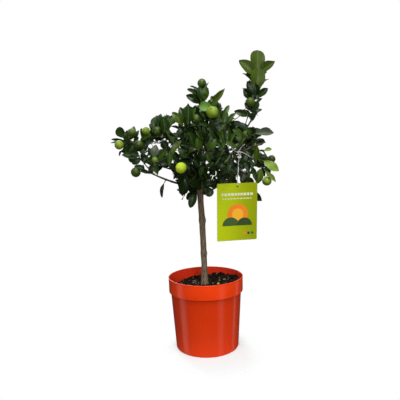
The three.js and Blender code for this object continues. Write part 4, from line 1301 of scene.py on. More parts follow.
def grow_placed_leaf(foot_x, foot_y, tip_x, tip_y, depth, swing,
                     width=LEAF_WIDTH, face=USUAL_FACING, tint="deep"):
    """A leaf that is told apart in the photograph, on a short twig of its own from the nearest limb."""
    foot = seen_at(foot_x, foot_y, depth)
    tip = seen_at(tip_x, tip_y, depth + swing)
    _, index, distance = all_stands.find(foot)
    if distance > NEAR_STAND:
        stand, axis = stand_list[index]
        twig = bowed_path(stand, foot, axis, 0, PLACED_STEPS)
        twig_lines.append((twig, *FINE_RADIUS))
        if foot.y < EDGE_ON_FROM:
            forward_twigs.append((twig, int(foot_x), int(tip_y)))
    line = tip - foot
    chance = draw(int(foot_x), int(tip_y), PLACED_FORM)
    form = int(chance * BLUNT_FORMS)
    if width < BLUNT_FROM:
        form = BLUNT_FORMS + int(chance * (LEAF_FORMS - BLUNT_FORMS))
    aside = 0 if tint in PALE_TINTS else PLACED_ASIDE * even_draw(int(foot_y), int(tip_x), ASIDE)
    facing = (FRONT + SIDE * aside) * face + UP * LEAF_FACE_LIFT
    blade = (foot, line.normalized(), facing, line.length, width * sqrt(1 + aside ** 2))
    put_leaf(*blade, tint, form)
    show(blade_spots(*blade), tint in PALE_TINTS or tint == "mid")


stand_list = [point_along(shoot.curve, share)
              for group in shoots.values() for shoot in group for share in spread(*SHOOT_STANDS)]
stand_list += [point_along(limb.curve, share)
               for limb in limbs.values() if limb.curve for share in spread(*BOUGH_STANDS)]
all_stands = tree_of([point for point, _ in stand_list])
# Each placed leaf: its foot and tip in the picture, its depth, how much deeper its tip is, its width for its
# length, how squarely it faces the camera, and its tint. The last ones are left out where they are usual.
PLACED_LEAVES = [
    # the leader
    (257, 76, 257, 50, 8, 0, 0.6, 2.2, "olive"), (256, 76, 239, 60, 6, -4, 0.56, 0.9, "olive"),
    (257, 76.5, 275, 61, 8, -6, 0.42, 1.0, "olive"), (256, 94, 258, 68, 1, -6, 0.6, 2.0, "olive"),
    (251, 80, 242, 73, 10, 8, 0.32, 0.4, "mid"), (262, 86, 269, 79, 10, 5, 0.24, 0.2, "mid"),
    (254, 100, 247, 82, -2, -8, 0.56, 1.6), (256, 98, 254, 82, -1, -4, 0.56, 1.6),
    (250, 93, 242, 88, 4, 6, 0.3, 0.3, "dark"), (250, 98, 243, 95, 4, -6, 0.35, 0.4, "dark"),
    (256, 99, 268, 88, 6, 4, 0.36, 0.7, "dark"), (252, 100, 243, 89, -5, -6, 0.46),
    (255, 84, 251, 68, 9, 4, 0.6, 1.4, "dark"), (257, 104, 262, 98, 8, 8, 0.35, 0.4, "dark"),
    (253, 112, 257, 101, 0, -10, 0.6, 1.4, "dark"), (254, 115, 262, 109, 4, 6, 0.42, 0.7, "dark"),
    (249, 117, 234, 111, 0, -6, 0.4, 1.3, "dark"), (252, 122, 256, 111, -2, -8, 0.5, 1.0),
    (251, 122, 247, 112, -2, 8, 0.4, 0.8),
    # the top sprig
    (202, 105, 186, 95, -12, -4, 0.42, 0.9), (200, 97, 187, 89, -10, 6, 0.3, 0.5),
    (200, 95, 190, 86, -8, 12, 0.26, 0.4), (202, 103, 199, 86, -20, -10, 0.5, 1.5, "dark"),
    (202, 104, 208.5, 88, -12, 4, 0.34, 0.9), (203, 99, 209, 82, -6, 6, 0.26, 0.6),
    (204, 103, 206, 86, -22, -8, 0.44, 1.5, "mid"), (202, 104, 194, 90, -14, -8, 0.44, 1.0, "dark"),
    # the crown's front and its right shoulder
    (215, 108, 199, 106, -84, -4, 0.62, 2.2, "lime"), (210, 110, 225, 88, -78, 6, 0.23, 0.8, "olive"),
    (208, 107, 221, 92, -75, 6, 0.3, 1.0, "mid"), (217, 109, 211, 96, -78, 4, 0.42, 1.0, "mid"),
    (221, 119, 229, 105, -78, 6, 0.28, 0.7, "mid"), (226, 125, 237, 112, -56, 8, 0.3, 0.5, "mid"),
    (222, 122, 219, 109, -83, -8, 0.38, 1.0, "mid"), (206, 120, 201, 107, -73, 4, 0.4, 0.9, "dark"),
    (209, 126, 222, 121, -133, -12, 0.44, 0.8), (209, 127, 199, 123, -133, -12, 0.46, 1.0, "dark"),
    (229, 124, 236, 118, -50, 8, 0.34, 0.4, "dark"),
    # the rosette left of the middle
    (184, 127, 172, 112, -65, -6, 0.44, 1.2, "olive"), (186, 127, 180, 107, -62, 4, 0.38, 0.8, "dark"),
    (188, 127, 188, 103, -65, -4, 0.44, 1.3, "dark"), (191, 123, 196, 107, -62, 6, 0.3, 0.7, "mid"),
    (181, 130, 171, 126, -60, 8, 0.28, 0.2), (185, 128, 176, 137, -70, -10, 0.46, 0.8),
    (188, 129, 196, 138, -70, -14, 0.46, 0.8, "dark"),
    # the upper left
    (153, 131, 157, 115, -22, 4, 0.48, 1.2, "dark"), (164, 135, 163, 116, -24, -4, 0.5, 1.5, "dark"),
    (165, 134, 174, 116, -22, 6, 0.42, 1.0, "mid"), (160, 137, 149, 124, -16, 6, 0.46, 1.1),
    (162, 138, 171, 131, -28, -10, 0.46, 0.9, "dark"), (162, 139, 167, 149, -26, -10, 0.42, 0.9),
    # the left tip
    (127, 139, 117, 128, -14, -4, 0.62, 1.6, "dark"), (131, 141, 134, 126, -8, 6, 0.5, 1.3, "olive"),
    (134, 141, 139, 130, -14, -6, 0.42, 1.0, "dark"), (124, 144, 111, 139, -12, 8, 0.26, 0.2),
    (125, 144, 110, 143, -18, -8, 0.28, 0.3), (128, 143, 127, 130, -22, -8, 0.44, 1.2, "dark"),
    (139, 150, 121, 151, -16, 6, 0.28, 0.4, "dark"), (141, 156, 121.5, 155, -18, -4, 0.52, 1.3, "dark"),
    (142, 158, 132, 164, -20, -4, 0.56, 1.3), (139, 142, 150, 135, -16, 4, 0.34, 0.6, "mid"),
    (142, 149, 155, 141, -14, 6, 0.28, 0.3), (135, 143, 128, 153, -24, -10, 0.5, 1.0),
    (138, 146, 144, 156, -22, -10, 0.46, 0.9),
    # the lower left
    (147, 172, 134, 166, -28, -4, 0.38, 0.8), (154, 159, 156, 144.5, -81, -6, 0.58, 1.4, "sheen"),
    (153, 158, 148, 147, -75, 4, 0.42, 0.9), (157, 160, 167, 150, -78, -6, 0.54, 1.0, "mid"),
    (154, 163, 149, 174, -78, -6, 0.5, 1.0), (156, 163, 158, 175, -81, -8, 0.5, 1.2, "dark"),
    (157, 162, 168, 165, -78, -8, 0.48, 1.0), (151, 160, 144, 163, -73, 6, 0.44, 0.8),
    (170, 158, 182, 140, -94, 4, 0.3, 0.5, "olive"), (170, 150, 169, 166, -99, -6, 0.34, 0.6, "mid"),
    (165, 181, 162, 198, -34, -6, 0.22, 0.2),
    # the front and the leaves under the fork
    (187, 155, 198, 149, -140, -4, 0.3, 0.3, "olive"), (198, 152, 197, 137, -146, -8, 0.48, 1.4, "mid"),
    (184, 176, 182, 195, -68, 4, 0.56, 0.9), (197, 190, 190, 208, -30, -8, 0.42, 1.2, "dark"),
    (194, 190, 187, 200, -26, 6, 0.38, 0.7), (204, 186, 212, 196, -24, -6, 0.72, 1.4, "dark"),
    (186, 158, 178, 148, -140, -6, 0.52, 1.4, "dark"), (207, 152, 216, 139, -146, -8, 0.56, 1.5, "mid"),
    # the right side
    (254, 133.7, 274, 132.7, -4, 0, 0.44, 1.2, "sheen"), (249, 132, 233, 123, -8, -4, 0.42, 0.6),
    (243, 138, 233, 129, -30, -10, 0.52, 1.1, "mid"), (255, 139, 266, 143, -6, 4, 0.32, 0.4),
    (250, 137, 246, 128, -24, -12, 0.5, 1.2, "mid"), (263, 151, 272, 149, -4, 2, 0.45, 1.4, "fresh"),
    (259, 150, 265, 153, -6, 8, 0.4, 0.6), (258, 157, 268, 157, -10, -6, 0.4, 0.8),
    (262, 160, 279, 171, -14, -4, 0.46, 1.6, "fresh"), (261, 167, 257, 184, -16, -6, 0.5, 1.5, "olive"),
    (264, 170, 276, 182, -12, 2, 0.3, 0.9, "fresh"), (262, 167, 271, 178, -8, 4, 0.36, 0.6),
    (256, 164, 257, 145, -20, -4, 0.34, 1.3, "olive"), (250, 190, 262, 201, -30, 0, 0.42, 1.0),
    (251, 172, 242, 183, -30, -6, 0.52, 1.2), (252, 170, 256, 181, -26, -6, 0.46, 1.0, "dark"),
    (232, 164, 222, 175, -70, -8, 0.5, 1.2), (236, 150, 226, 141, -74, -8, 0.34, 0.8, "mid"),
    (238, 146, 246, 137, -70, -6, 0.3, 0.6, "mid"), (187, 168, 174, 172, -73, -8, 0.5, 1.0),
    (184, 172, 173, 179, -65, 4, 0.36, 0.7), (150, 174, 140, 171, -30, -6, 0.4, 0.8),
    (190, 158, 183, 151, -91, -6, 0.5, 1.0, "dark"), (226, 124, 219, 133, -78, -8, 0.5, 1.1, "dark"),
    (205, 150, 209, 163, -143, -8, 0.5, 1.2, "dark"), (216, 176, 208, 169, -78, -6, 0.46, 0.9),
    (216, 160, 221, 172, -91, -6, 0.46, 1.0),
    # the fan of narrow leaves right of the middle
    (225, 150, 217, 131, -91, 6, 0.26, 0.5, "mid"), (226, 148, 222, 127, -72, 4, 0.24, 0.6, "mid"),
    (227, 148, 229, 127, -70, 6, 0.26, 0.5, "dark"), (228, 149, 236, 132, -66, 8, 0.24, 0.4, "mid"),
    (224, 151, 212, 140, -96, -4, 0.34, 0.8, "dark"), (229, 152, 240, 143, -56, -4, 0.24, 0.4, "mid"),
    (221, 142, 211, 131, -101, -6, 0.4, 1.0), (206, 140, 203, 126, -140, -6, 0.46, 1.2),
    (194, 146, 189, 131, -137, -6, 0.48, 1.2, "dark"), (192, 150, 181, 144, -140, -6, 0.42, 0.9),
    (212, 158, 222, 151, -143, -6, 0.46, 1.0), (200, 168, 193, 158, -140, -6, 0.46, 1.0),
    (204, 168, 215, 163, -133, -6, 0.42, 0.8, "dark"), (190, 172, 181, 160, -91, 6, 0.4, 0.9),
    (240, 166, 246, 152, -64, -4, 0.42, 0.9), (246, 162, 254, 152, -50, -4, 0.44, 1.0),
    (243, 170, 236, 160, -50, 6, 0.4, 0.8), (232, 178, 226, 166, -60, -6, 0.52, 1.2),
    (228, 180, 235, 170, -56, 4, 0.46, 0.9, "dark"), (165, 163, 174, 153, -73, 6, 0.46, 1.0),
    (166, 164, 160, 152, -65, 6, 0.44, 1.0, "dark"), (176, 170, 178, 157, -73, 4, 0.5, 1.1),
    # leaves behind, that close the crown
    (190, 140, 183, 127, -10, 10), (200, 136, 193, 123, -8, 10), (220, 138, 213, 122, -6, 10),
    (172, 160, 164, 147, -20, 10), (196, 162, 180, 154, -20, 10), (218, 158, 209, 146, -10, 10, 0.6),
    (220, 172, 210, 160, -12, 10), (230, 156, 219, 144, -14, 10), (234, 166, 222, 152, -20, 10),
    (240, 176, 229, 162, -24, 10), (256, 160, 244, 149, -20, 10),
    (190, 158, 176, 156, -24, 12, 0.5, 1.4, "dark"), (186, 182, 174, 172, -20, 8),
    (254, 146, 265, 141, 6, 6, 0.44, 1.2), (258, 116, 247, 107, 10, 8),
    (252, 116, 241, 110, 12, 6, 0.34, 1.0), (228, 190, 217, 178, -16, 8), (240, 190, 228, 177, -14, 8),
    (254, 190, 244, 176, -12, 8), (174, 178, 178, 165, -34, 8, 0.5),
    (150, 166, 141, 154, -20, 6, 0.46, 1.2), (248, 170, 238, 158, -20, 8, 0.5),
    (160, 170, 152, 160, -24, 8, 0.5), (232, 140, 222, 130, -8, 8), (180, 150, 170, 138, -16, 8, 0.5),
    (208, 148, 198, 136, -10, 8, 0.6),
    # leaves that close gaps the photograph doesn't show, and that hide the boughs behind them
    (179, 130, 182, 121, -30, 6, 0.5), (190, 133, 188, 121, -20, 6), (187, 141, 177, 134, -24, 6, 0.5),
    (146, 153, 142, 139, -12, 6, 0.5), (219, 163, 211, 154, -30, 6),
    (241, 155, 232, 151, -30, 6, 0.4, 1.2), (252, 172, 250, 159, -22, 6, 0.4, 1.3),
    (216, 177, 213, 190, -20, -4, 0.5, 1.2), (188, 183, 184, 171, -30, 6, 0.5, 1.3),
    (173, 166, 161, 166, -40, 6, 0.34, 1.0, "dark"), (152, 168, 150, 156, -24, 6, 0.44, 1.2),
    (172, 155, 176, 144, -24, 6, 0.5, 1.3), (214, 134, 207, 124, -146, -6, 0.46, 1.2, "dark"),
    (206, 146, 211, 134, -150, -6, 0.44, 1.2), (202, 163, 207, 152, -150, -6, 0.44, 1.0),
    (199, 176, 204, 166, -140, -6, 0.46, 1.0, "dark"), (249, 174, 246, 160, -34, 6, 0.44, 1.3),
    (236, 162, 233, 152, -40, 6, 0.44, 1.3), (226, 168, 219, 160, -36, 6, 0.5, 1.3),
    (198, 130, 202, 118, -30, 6, 0.5, 1.3), (243, 146, 235, 136, -48, 6, 0.5, 1.3, "dark"),
    (177, 176, 170, 163, -60, 6, 0.44, 1.3), (164, 164, 157, 171, -40, 6, 0.4, 1.2),
    (188, 186, 175, 180, -50, -4, 0.36, 1.2), (262, 166, 265, 177, -4, 6, 0.4, 1.2),
    (252, 166, 255, 176, -20, 6, 0.5, 1.2), (224, 168, 219, 176, -60, -6, 0.5, 1.2),
    (251, 112, 245, 102, 0, -6, 0.44, 1.0), (148, 146, 141, 128, -10, 8, 0.4, 0.9, "dark"),
    (170, 167, 165, 152, -45, 6, 0.5, 1.2, "dark"), (180, 163, 173, 151, -50, 6, 0.52, 1.2),
    (163, 166, 160, 156, -50, 6, 0.5, 1.0, "dark"), (223, 126, 226, 111, -60, 6, 0.4, 0.9, "mid"),
    (220, 124, 222, 110, -50, 6, 0.44, 0.9, "dark"), (196, 167, 202, 162, -125, -4, 0.56, 0.9, "sheen"),
    (203, 158, 212, 153, -135, -6, 0.5, 1.0, "mid"),
]
for placed in PLACED_LEAVES:
    grow_placed_leaf(*placed)
for mass in MASSES:
    for x, y, z, diameter, _ in mass.fruit:
        middle = Vector((x, y - diameter / 2, z))
        angles = spread(0, FULL_TURN, FRUIT_RIM_STEPS)
        rim = [middle + Vector((cos(a), 0, sin(a))) * (FRUIT_SHOWN * diameter) for a in angles]
        show([middle, *rim], True)
for (x, y), (end_x, end_y) in [(TIE_STRAND, TIE_KNOT)] + [(TIE_KNOT, end[:2]) for end in TIE_ENDS]:
    shares = spread(0, 1, TIE_SHOWN_STEPS)
    show((seen_at(x + (end_x - x) * t, y + (end_y - y) * t, TIE_DEPTH) for t in shares), True)
kept_leaves = []
for mass in MASSES:
    for shoot in shoots[mass.name]:
        for i in range(shoot.leaves):
            kept_leaves += kept_leaf(mass, shoot, i)
for kept in kept_leaves:
    put_leaf(*kept)
for twig, *keys in forward_twigs:
    length = length_of(twig)
    for n in range(int(length / EDGE_ON_SPACING)):
        root, _ = point_along(twig, (n + 0.5) * EDGE_ON_SPACING / length)
        for leaf in edge_on_leaf(root, EDGE_ON_LENGTH, *keys, n):
            put_leaf(*leaf)
for mass in MASSES:
    for shoot in shoots[mass.name]:
        count = int(length_of(shoot.curve) / FINE_SPACING)
        for n in range(count):
            along = FINE_ALONG[0] + (FINE_ALONG[1] - FINE_ALONG[0]) * (n + 0.5) / count
            grow_fine_twig(mass, shoot, n, along)


# The fruits' stalks: each fruit hangs from a short green stalk of its own, which leaves the nearest limb
# that isn't inside it. The stalks are part of the twigs.
FRUIT_CLEAR = 0.6
STALK_CHOICES = 60
STALK_RADIUS = 0.75
STALK_FLARE = 1.3
STALK_BOW = 0.6
CROWN_SHARE = 0.47
Fruit = namedtuple("Fruit", "centre turn diameter")
fruits = {tint: [] for tint in ("shaded", "green", "turning", "bright")}
for mass in MASSES:
    for x, y, z, diameter, tint in mass.fruit:
        centre = Vector((x, y, z))
        stands = all_stands.find_n(centre, STALK_CHOICES)
        point = next(spot for spot, _, away in stands if away > FRUIT_CLEAR * diameter)
        line = (point - centre).normalized()
        crown = centre + line * (diameter * CROWN_SHARE)
        middle = (point + crown) / 2 + UP * STALK_BOW
        twig_lines.append(([point, middle, crown], STALK_RADIUS, STALK_RADIUS * STALK_FLARE))
        fruits[tint].append(Fruit(centre, line.to_track_quat("Z", "Y").to_matrix(), diameter))


def tubing():
    """Turns lines of points into round twigs as thick as their points say, with closed ends."""
    maker = Maker("twig_tubes", {"Sides": "Int", "Finish": "Material"})
    lines = maker.add("GeometryNodeMeshToCurve", {"Mesh": maker.given["Geometry"]})
    thickness = maker.add("GeometryNodeInputNamedAttribute", {"Name": "thickness"}, data_type="FLOAT")
    ring = maker.add("GeometryNodeCurvePrimitiveCircle", {"Resolution": maker.given["Sides"], "Radius": 1.0})
    tubes = maker.add("GeometryNodeCurveToMesh", {
        "Curve": lines, "Profile Curve": ring, "Scale": thickness, "Fill Caps": True})
    smooth = maker.add("GeometryNodeSetShadeSmooth", {"Geometry": tubes})
    real = maker.add("GeometryNodeRealizeInstances", {"Geometry": smooth})
    finish = maker.given["Finish"]
    return maker.end(maker.add("GeometryNodeSetMaterial", {"Geometry": real, "Material": finish}))


def make_tubes(name, lines, sides, finish):
    """A piece of round twigs from lines of points, each with a thickness at its foot and at its tip."""
    points = []
    edges = []
    thickness = []
    for line, foot, tip in lines:
        for i, point in enumerate(line):
            if i:
                edges.append((len(points) - 1, len(points)))
            points.append(tuple(point * MM))
            thickness.append((foot + (tip - foot) * i / (len(line) - 1)) * MM)
    mesh = bpy.data.meshes.new(name)
    mesh.from_pydata(points, edges, [])
    mesh.attributes.new("thickness", "FLOAT", "POINT").data.foreach_set("value", thickness)
    return tubes.run(add_piece(name, mesh), {"Sides": sides, "Finish": finish})


TWIG_SIDES = 8
tubes = tubing()
twigs = make_tubes("green_twigs", twig_lines, TWIG_SIDES, bark(
    "green_twig", TWIG_GREEN, TWIG_GREEN, TWIG_DARK, 0.25))
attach(twigs, "root")
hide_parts(*(mass.name for mass in MASSES))


# The leaves: leathery blades, widest past the middle, blunt or pointed, folded a little along a pale rib,
# glossy above and dull and paler below. Each is set out from one of two blunt or six pointed shapes.
LEAF_ROWS = (0, 0.09, 0.17, 0.29, 0.44, 0.6, 0.75, 0.87, 0.95, 1)
LEAF_COLUMNS = (-1, -0.52, -0.05, 0.05, 0.52, 1)
LEAF_STALK_END = 0.09
LEAF_STALK_WIDTH = 0.022
LEAF_THICKNESS = 0.012
LEAF_THINNER = 0.35
LEAF_SHOULDER = 0.95
FOLD_LEVEL = 0.12
TWIST_LEVEL = 0.4
LEAF_WAVES = 14
WAVE_SLANT = 1.3
LEAF_SHINE = 0.2
LEAF_LIGHTER = 1.35
LEAF_DEEPER = 0.72
TOP_SKIN, RIB_SKIN, BACK_SKIN = 0, 1, 2
# Each shape: how blunt its tip is, its arch, its fold, its twist, how far it sweeps to one side, its waves.
LEAF_SHAPES = [
    (0.50, 0.05, 0.20, 0.05, 0.00, 0.020), (0.55, 0.08, 0.16, -0.08, 0.02, 0.024),
    (1.05, 0.07, 0.36, 0.12, 0.05, 0.015), (0.85, 0.13, 0.18, 0.00, 0.00, 0.030),
    (0.95, 0.03, 0.42, -0.06, -0.05, 0.018), (0.80, 0.09, 0.12, 0.16, 0.02, 0.034),
    (1.15, 0.06, 0.28, -0.14, 0.06, 0.016), (0.90, 0.16, 0.25, 0.08, -0.02, 0.024)]
# Each tint: the colours of the blade's face, its rib and its back.
LEAF_COLOURS = {
    "deep": ((0.007, 0.019, 0.0025, 1), (0.022, 0.046, 0.006, 1), (0.019, 0.038, 0.006, 1)),
    "dark": ((0.014, 0.034, 0.0035, 1), (0.038, 0.074, 0.008, 1), (0.031, 0.058, 0.008, 1)),
    "mid": ((0.030, 0.064, 0.006, 1), (0.064, 0.114, 0.011, 1), (0.052, 0.090, 0.011, 1)),
    # A paler, greyer green that paints the gloss of reflected light into the leaf's colour: a painted sheen.
    "sheen": ((0.080, 0.098, 0.066, 1), (0.110, 0.130, 0.080, 1), (0.060, 0.080, 0.045, 1)),
    "olive": ((0.040, 0.068, 0.003, 1), (0.075, 0.105, 0.010, 1), (0.065, 0.092, 0.011, 1)),
    "fresh": ((0.150, 0.230, 0.024, 1), (0.220, 0.310, 0.055, 1), (0.180, 0.255, 0.045, 1)),
    "lime": ((0.055, 0.150, 0.0, 1), (0.110, 0.210, 0.004, 1), (0.085, 0.175, 0.004, 1))}


def leaf_width(t, blunt):
    """Half the width at a share of the length, for a blade one wide: a thin stalk, then the blade."""
    if t <= LEAF_STALK_END:
        return LEAF_STALK_WIDTH
    s = (t - LEAF_STALK_END) / (1 - LEAF_STALK_END)
    widest = LEAF_SHOULDER / (LEAF_SHOULDER + blunt)
    full = widest ** LEAF_SHOULDER * (1 - widest) ** blunt
    return max(LEAF_STALK_WIDTH, 0.5 * s ** LEAF_SHOULDER * (1 - s) ** blunt / full)


def leaf_point(row, column, shape, skin):
    blunt, arch, fold, twist, sweep, wave = shape
    across = column * leaf_width(row, blunt)
    thickness = LEAF_THICKNESS * (1 - column ** 2) * (LEAF_THINNER if row > 0 else 1)
    lift = arch * 4 * row * (1 - row)
    if row > LEAF_STALK_END:
        ripple = sin(row * LEAF_WAVES + column * WAVE_SLANT) * abs(column)
        lift += fold * (abs(across) - FOLD_LEVEL) + wave * ripple
    lift += twist * across * (row - TWIST_LEVEL) * 2
    bend = sweep * 4 * row * (1 - row)
    return across + bend, row, lift + (thickness if skin == TOP_SKIN else -thickness)


def leaf_shape(name, shape):
    """One closed blade, one long and one wide: a face and a back that meet at the edge."""
    columns = len(LEAF_COLUMNS)
    last = len(LEAF_ROWS) - 2
    points = []
    face_at = {}
    back_at = {}
    for r, row in enumerate(LEAF_ROWS[:-1]):
        for c, column in enumerate(LEAF_COLUMNS):
            face_at[r, c] = back_at[r, c] = len(points)
            points.append(leaf_point(row, column, shape, TOP_SKIN))
            if 0 < c < columns - 1:
                back_at[r, c] = len(points)
                points.append(leaf_point(row, column, shape, BACK_SKIN))
    tip = len(points)
    points.append((0, 1, 0))
    faces = {}
    for c in range(columns - 1):
        skin = RIB_SKIN if c == (columns - 1) // 2 else TOP_SKIN
        for r in range(last):
            faces[face_at[r, c], face_at[r, c + 1], face_at[r + 1, c + 1], face_at[r + 1, c]] = skin
            faces[back_at[r, c], back_at[r + 1, c], back_at[r + 1, c + 1], back_at[r, c + 1]] = BACK_SKIN
        faces[face_at[last, c], face_at[last, c + 1], tip] = skin
        faces[back_at[last, c], tip, back_at[last, c + 1]] = BACK_SKIN
        foot = [face_at[0, c], back_at[0, c], back_at[0, c + 1], face_at[0, c + 1]]
        faces[tuple(dict.fromkeys(foot))] = BACK_SKIN
    mesh = mesh_of(name, points, list(faces))
    mesh.attributes.new("skin", "INT", "FACE").data.foreach_set("value", list(faces.values()))
    edge_spots = {face_at[r, c] for r in range(last + 1) for c in (0, columns - 1)} | {tip}
    sharp = mesh.attributes.new("sharp_edge", "BOOLEAN", "EDGE")
    sharp.data.foreach_set("value", [set(edge.vertices) <= edge_spots for edge in mesh.edges])
    return bpy.data.objects.new(name, mesh)


def leaf_skin(name, colour, roughness, clouding):
    """Leaf skin: one green, faintly clouded, with a fine grain and a waxy gloss on the upper face."""
    finish = Finish(name, LEAF_SHINE)
    cloud = finish.noise(scale=70, detail=4)
    grain = finish.noise(scale=900, detail=2)
    green = finish.blend(cloud, tinted(colour, LEAF_DEEPER), tinted(colour, LEAF_LIGHTER))
    return finish.done(green, roughness + clouding * (cloud - 0.5), cloud + 0.3 * grain, strength=0.18)


def setting_out():
    """Sets a shape out at every point, turned and sized as the point says, with its three skins."""
    skin_names = ("First Skin", "Second Skin", "Third Skin")
    maker = Maker("set_out_shapes", {"Shapes": "Collection", **dict.fromkeys(skin_names, "Material")})

    def read(kind, name):
        return maker.add("GeometryNodeInputNamedAttribute", {"Name": name}, data_type=kind)

    shapes = maker.add("GeometryNodeCollectionInfo", {
        "Collection": maker.given["Shapes"], "Separate Children": True, "Reset Children": True})
    turn = maker.add("FunctionNodeEulerToRotation", {"Euler": read("FLOAT_VECTOR", "turn")})
    copies = maker.add("GeometryNodeInstanceOnPoints", {
        "Points": maker.given["Geometry"], "Instance": shapes, "Pick Instance": True,
        "Instance Index": read("INT", "form"), "Rotation": turn, "Scale": read("FLOAT_VECTOR", "size")})
    made = maker.add("GeometryNodeRealizeInstances", {"Geometry": copies})
    for skin, name in enumerate(skin_names):
        sockets = {2: read("INT", "skin"), 3: skin}
        same = maker.add("FunctionNodeCompare", sockets, data_type="INT", operation="EQUAL")
        made = maker.add("GeometryNodeSetMaterial", {
            "Geometry": made, "Selection": same, "Material": maker.given[name]})
    return maker.end(made)


def set_out(name, rows, shapes, skins):
    """A piece of copies, each row being a copy's place, turn, size and form."""
    places, turns, sizes, forms = zip(*rows)
    mesh = bpy.data.meshes.new(name)
    mesh.from_pydata([tuple(place * MM) for place in places], [], [])
    flat_turns = [part for turn in turns for part in turn.to_euler()]
    flat_sizes = [part * MM for size in sizes for part in size]
    mesh.attributes.new("turn", "FLOAT_VECTOR", "POINT").data.foreach_set("vector", flat_turns)
    mesh.attributes.new("size", "FLOAT_VECTOR", "POINT").data.foreach_set("vector", flat_sizes)
    mesh.attributes.new("form", "INT", "POINT").data.foreach_set("value", forms)
    piece = copies.run(add_piece(name, mesh), {
        "Shapes": shapes, "First Skin": skins[0], "Second Skin": skins[1], "Third Skin": skins[2]})
    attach(piece, "root")
    return piece


def collect(name, objects):
    made = bpy.data.collections.new(name)
    for item in objects:
        made.objects.link(item)
    return made


def discard(collection):
    for item in list(collection.objects):
        bpy.data.objects.remove(item)
    bpy.data.collections.remove(collection)


copies = setting_out()
leaf_shapes = collect("leaf_shapes", [leaf_shape(f"leaf_{i}", shape) for i, shape in enumerate(LEAF_SHAPES)])
# Each skin of a leaf: its side, how rough it is and how clouded.
LEAF_SKINS = ("face", 0.34, 0.2), ("rib", 0.42, 0.1), ("back", 0.6, 0.1)
for tint, colours in LEAF_COLOURS.items():
    skins = [leaf_skin(f"leaf_{tint}_{side}", colour, *look)
             for (side, *look), colour in zip(LEAF_SKINS, colours)]
    rows = [(leaf.root, leaf.turn, (leaf.length * leaf.width, leaf.length, leaf.length), leaf.form)
            for leaf in leaves[tint]]
    piece = set_out(f"leaves_{tint}", rows, leaf_shapes, skins)
    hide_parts(*(mass.name for mass in MASSES))
discard(leaf_shapes)


# The fruits: round green kumquats in four tints from shaded to bright, glossy and finely pitted, each with a
# five-lobed button at its stalk and a small dimple at its blossom end. They are set out from one shape.
FRUIT_SIDES = 28
FRUIT_RINGS = 16
FRUIT_FLATNESS = 0.96
FRUIT_RIBS = 0.012
FRUIT_DIMPLE = 0.03
DIMPLE_RADIUS = 0.1
BLOSSOM_DIMPLE = 0.4
BUTTON_RADIUS = 0.105
BUTTON_LOBES = 5
LOBE_DEPTH = 0.28
# Each ring of the button: its height and how wide it is.
BUTTON_RINGS = ((0.455, 1.0), (0.485, 0.92), (0.505, 0.45))
PEEL_SKIN, BLOSSOM_SKIN, BUTTON_SKIN = 0, 1, 2
FRUIT_SHINE = 0.3
FRUIT_COLOURS = {
    "shaded": ((0.018, 0.038, 0.002, 1), (0.042, 0.070, 0.004, 1)),
    "green": ((0.028, 0.058, 0.003, 1), (0.065, 0.105, 0.006, 1)),
    "turning": ((0.105, 0.185, 0.010, 1), (0.205, 0.285, 0.020, 1)),
    "bright": ((0.400, 0.560, 0.014, 1), (0.560, 0.700, 0.034, 1))}


def fruit_shape():
    """One fruit, a metre across: peel, button and blossom end, with the stalk's side towards +Z."""
    points = [(0, 0, -0.5 * FRUIT_FLATNESS + BLOSSOM_DIMPLE * FRUIT_DIMPLE)]
    for ring in range(1, FRUIT_RINGS):
        slope = pi * ring / FRUIT_RINGS
        height = -0.5 * FRUIT_FLATNESS * cos(slope)
        for k in range(FRUIT_SIDES):
            angle = FULL_TURN * k / FRUIT_SIDES
            radius = 0.5 * sin(slope) * (1 + FRUIT_RIBS * cos(BUTTON_LOBES * angle))
            dimple = FRUIT_DIMPLE * exp(-(radius / DIMPLE_RADIUS) ** 2)
            dimple *= 1 if height > 0 else -BLOSSOM_DIMPLE
            points.append((radius * cos(angle), radius * sin(angle), height - dimple))
    points.append((0, 0, 0.5 * FRUIT_FLATNESS - FRUIT_DIMPLE))
    faces = list(ring_faces(1, FRUIT_RINGS - 1, FRUIT_SIDES, 0, len(points) - 1))
    skins = [BLOSSOM_SKIN if 0 in face else PEEL_SKIN for face in faces]
    first = len(points)
    around = 4 * BUTTON_LOBES
    for height, grow in BUTTON_RINGS:
        for k in range(around):
            angle = FULL_TURN * k / around
            lobes = BUTTON_RADIUS * grow * (1 + LOBE_DEPTH * cos(BUTTON_LOBES * angle))
            points.append((lobes * cos(angle), lobes * sin(angle), height * FRUIT_FLATNESS))
    faces.append(tuple(first + k for k in reversed(range(around))))
    faces.append(tuple(first + 2 * around + k for k in range(around)))
    for low in (first, first + around):
        for k in range(around):
            after = (k + 1) % around
            faces.append((low + k, low + after, low + around + after, low + around + k))
    skins += [BUTTON_SKIN] * (len(faces) - len(skins))
    mesh = mesh_of("fruit", points, faces)
    mesh.attributes.new("skin", "INT", "FACE").data.foreach_set("value", skins)
    return bpy.data.objects.new("fruit", mesh)


def peel(name, shade, light):
    """Citrus peel: fine oil pits all over, a soft gloss and a slow change from deep to lighter green."""
    finish = Finish(name, FRUIT_SHINE)
    cloud = finish.noise(scale=60, detail=3)
    pits = finish.add("ShaderNodeTexVoronoi", {"Vector": finish.place, "Scale": 1100})
    colour = finish.blend(finish.clamped(cloud, 0.35, 0.65), shade, light)
    return finish.done(colour, 0.3 + 0.12 * cloud, pits, strength=0.35, distance=0.6 * MM)


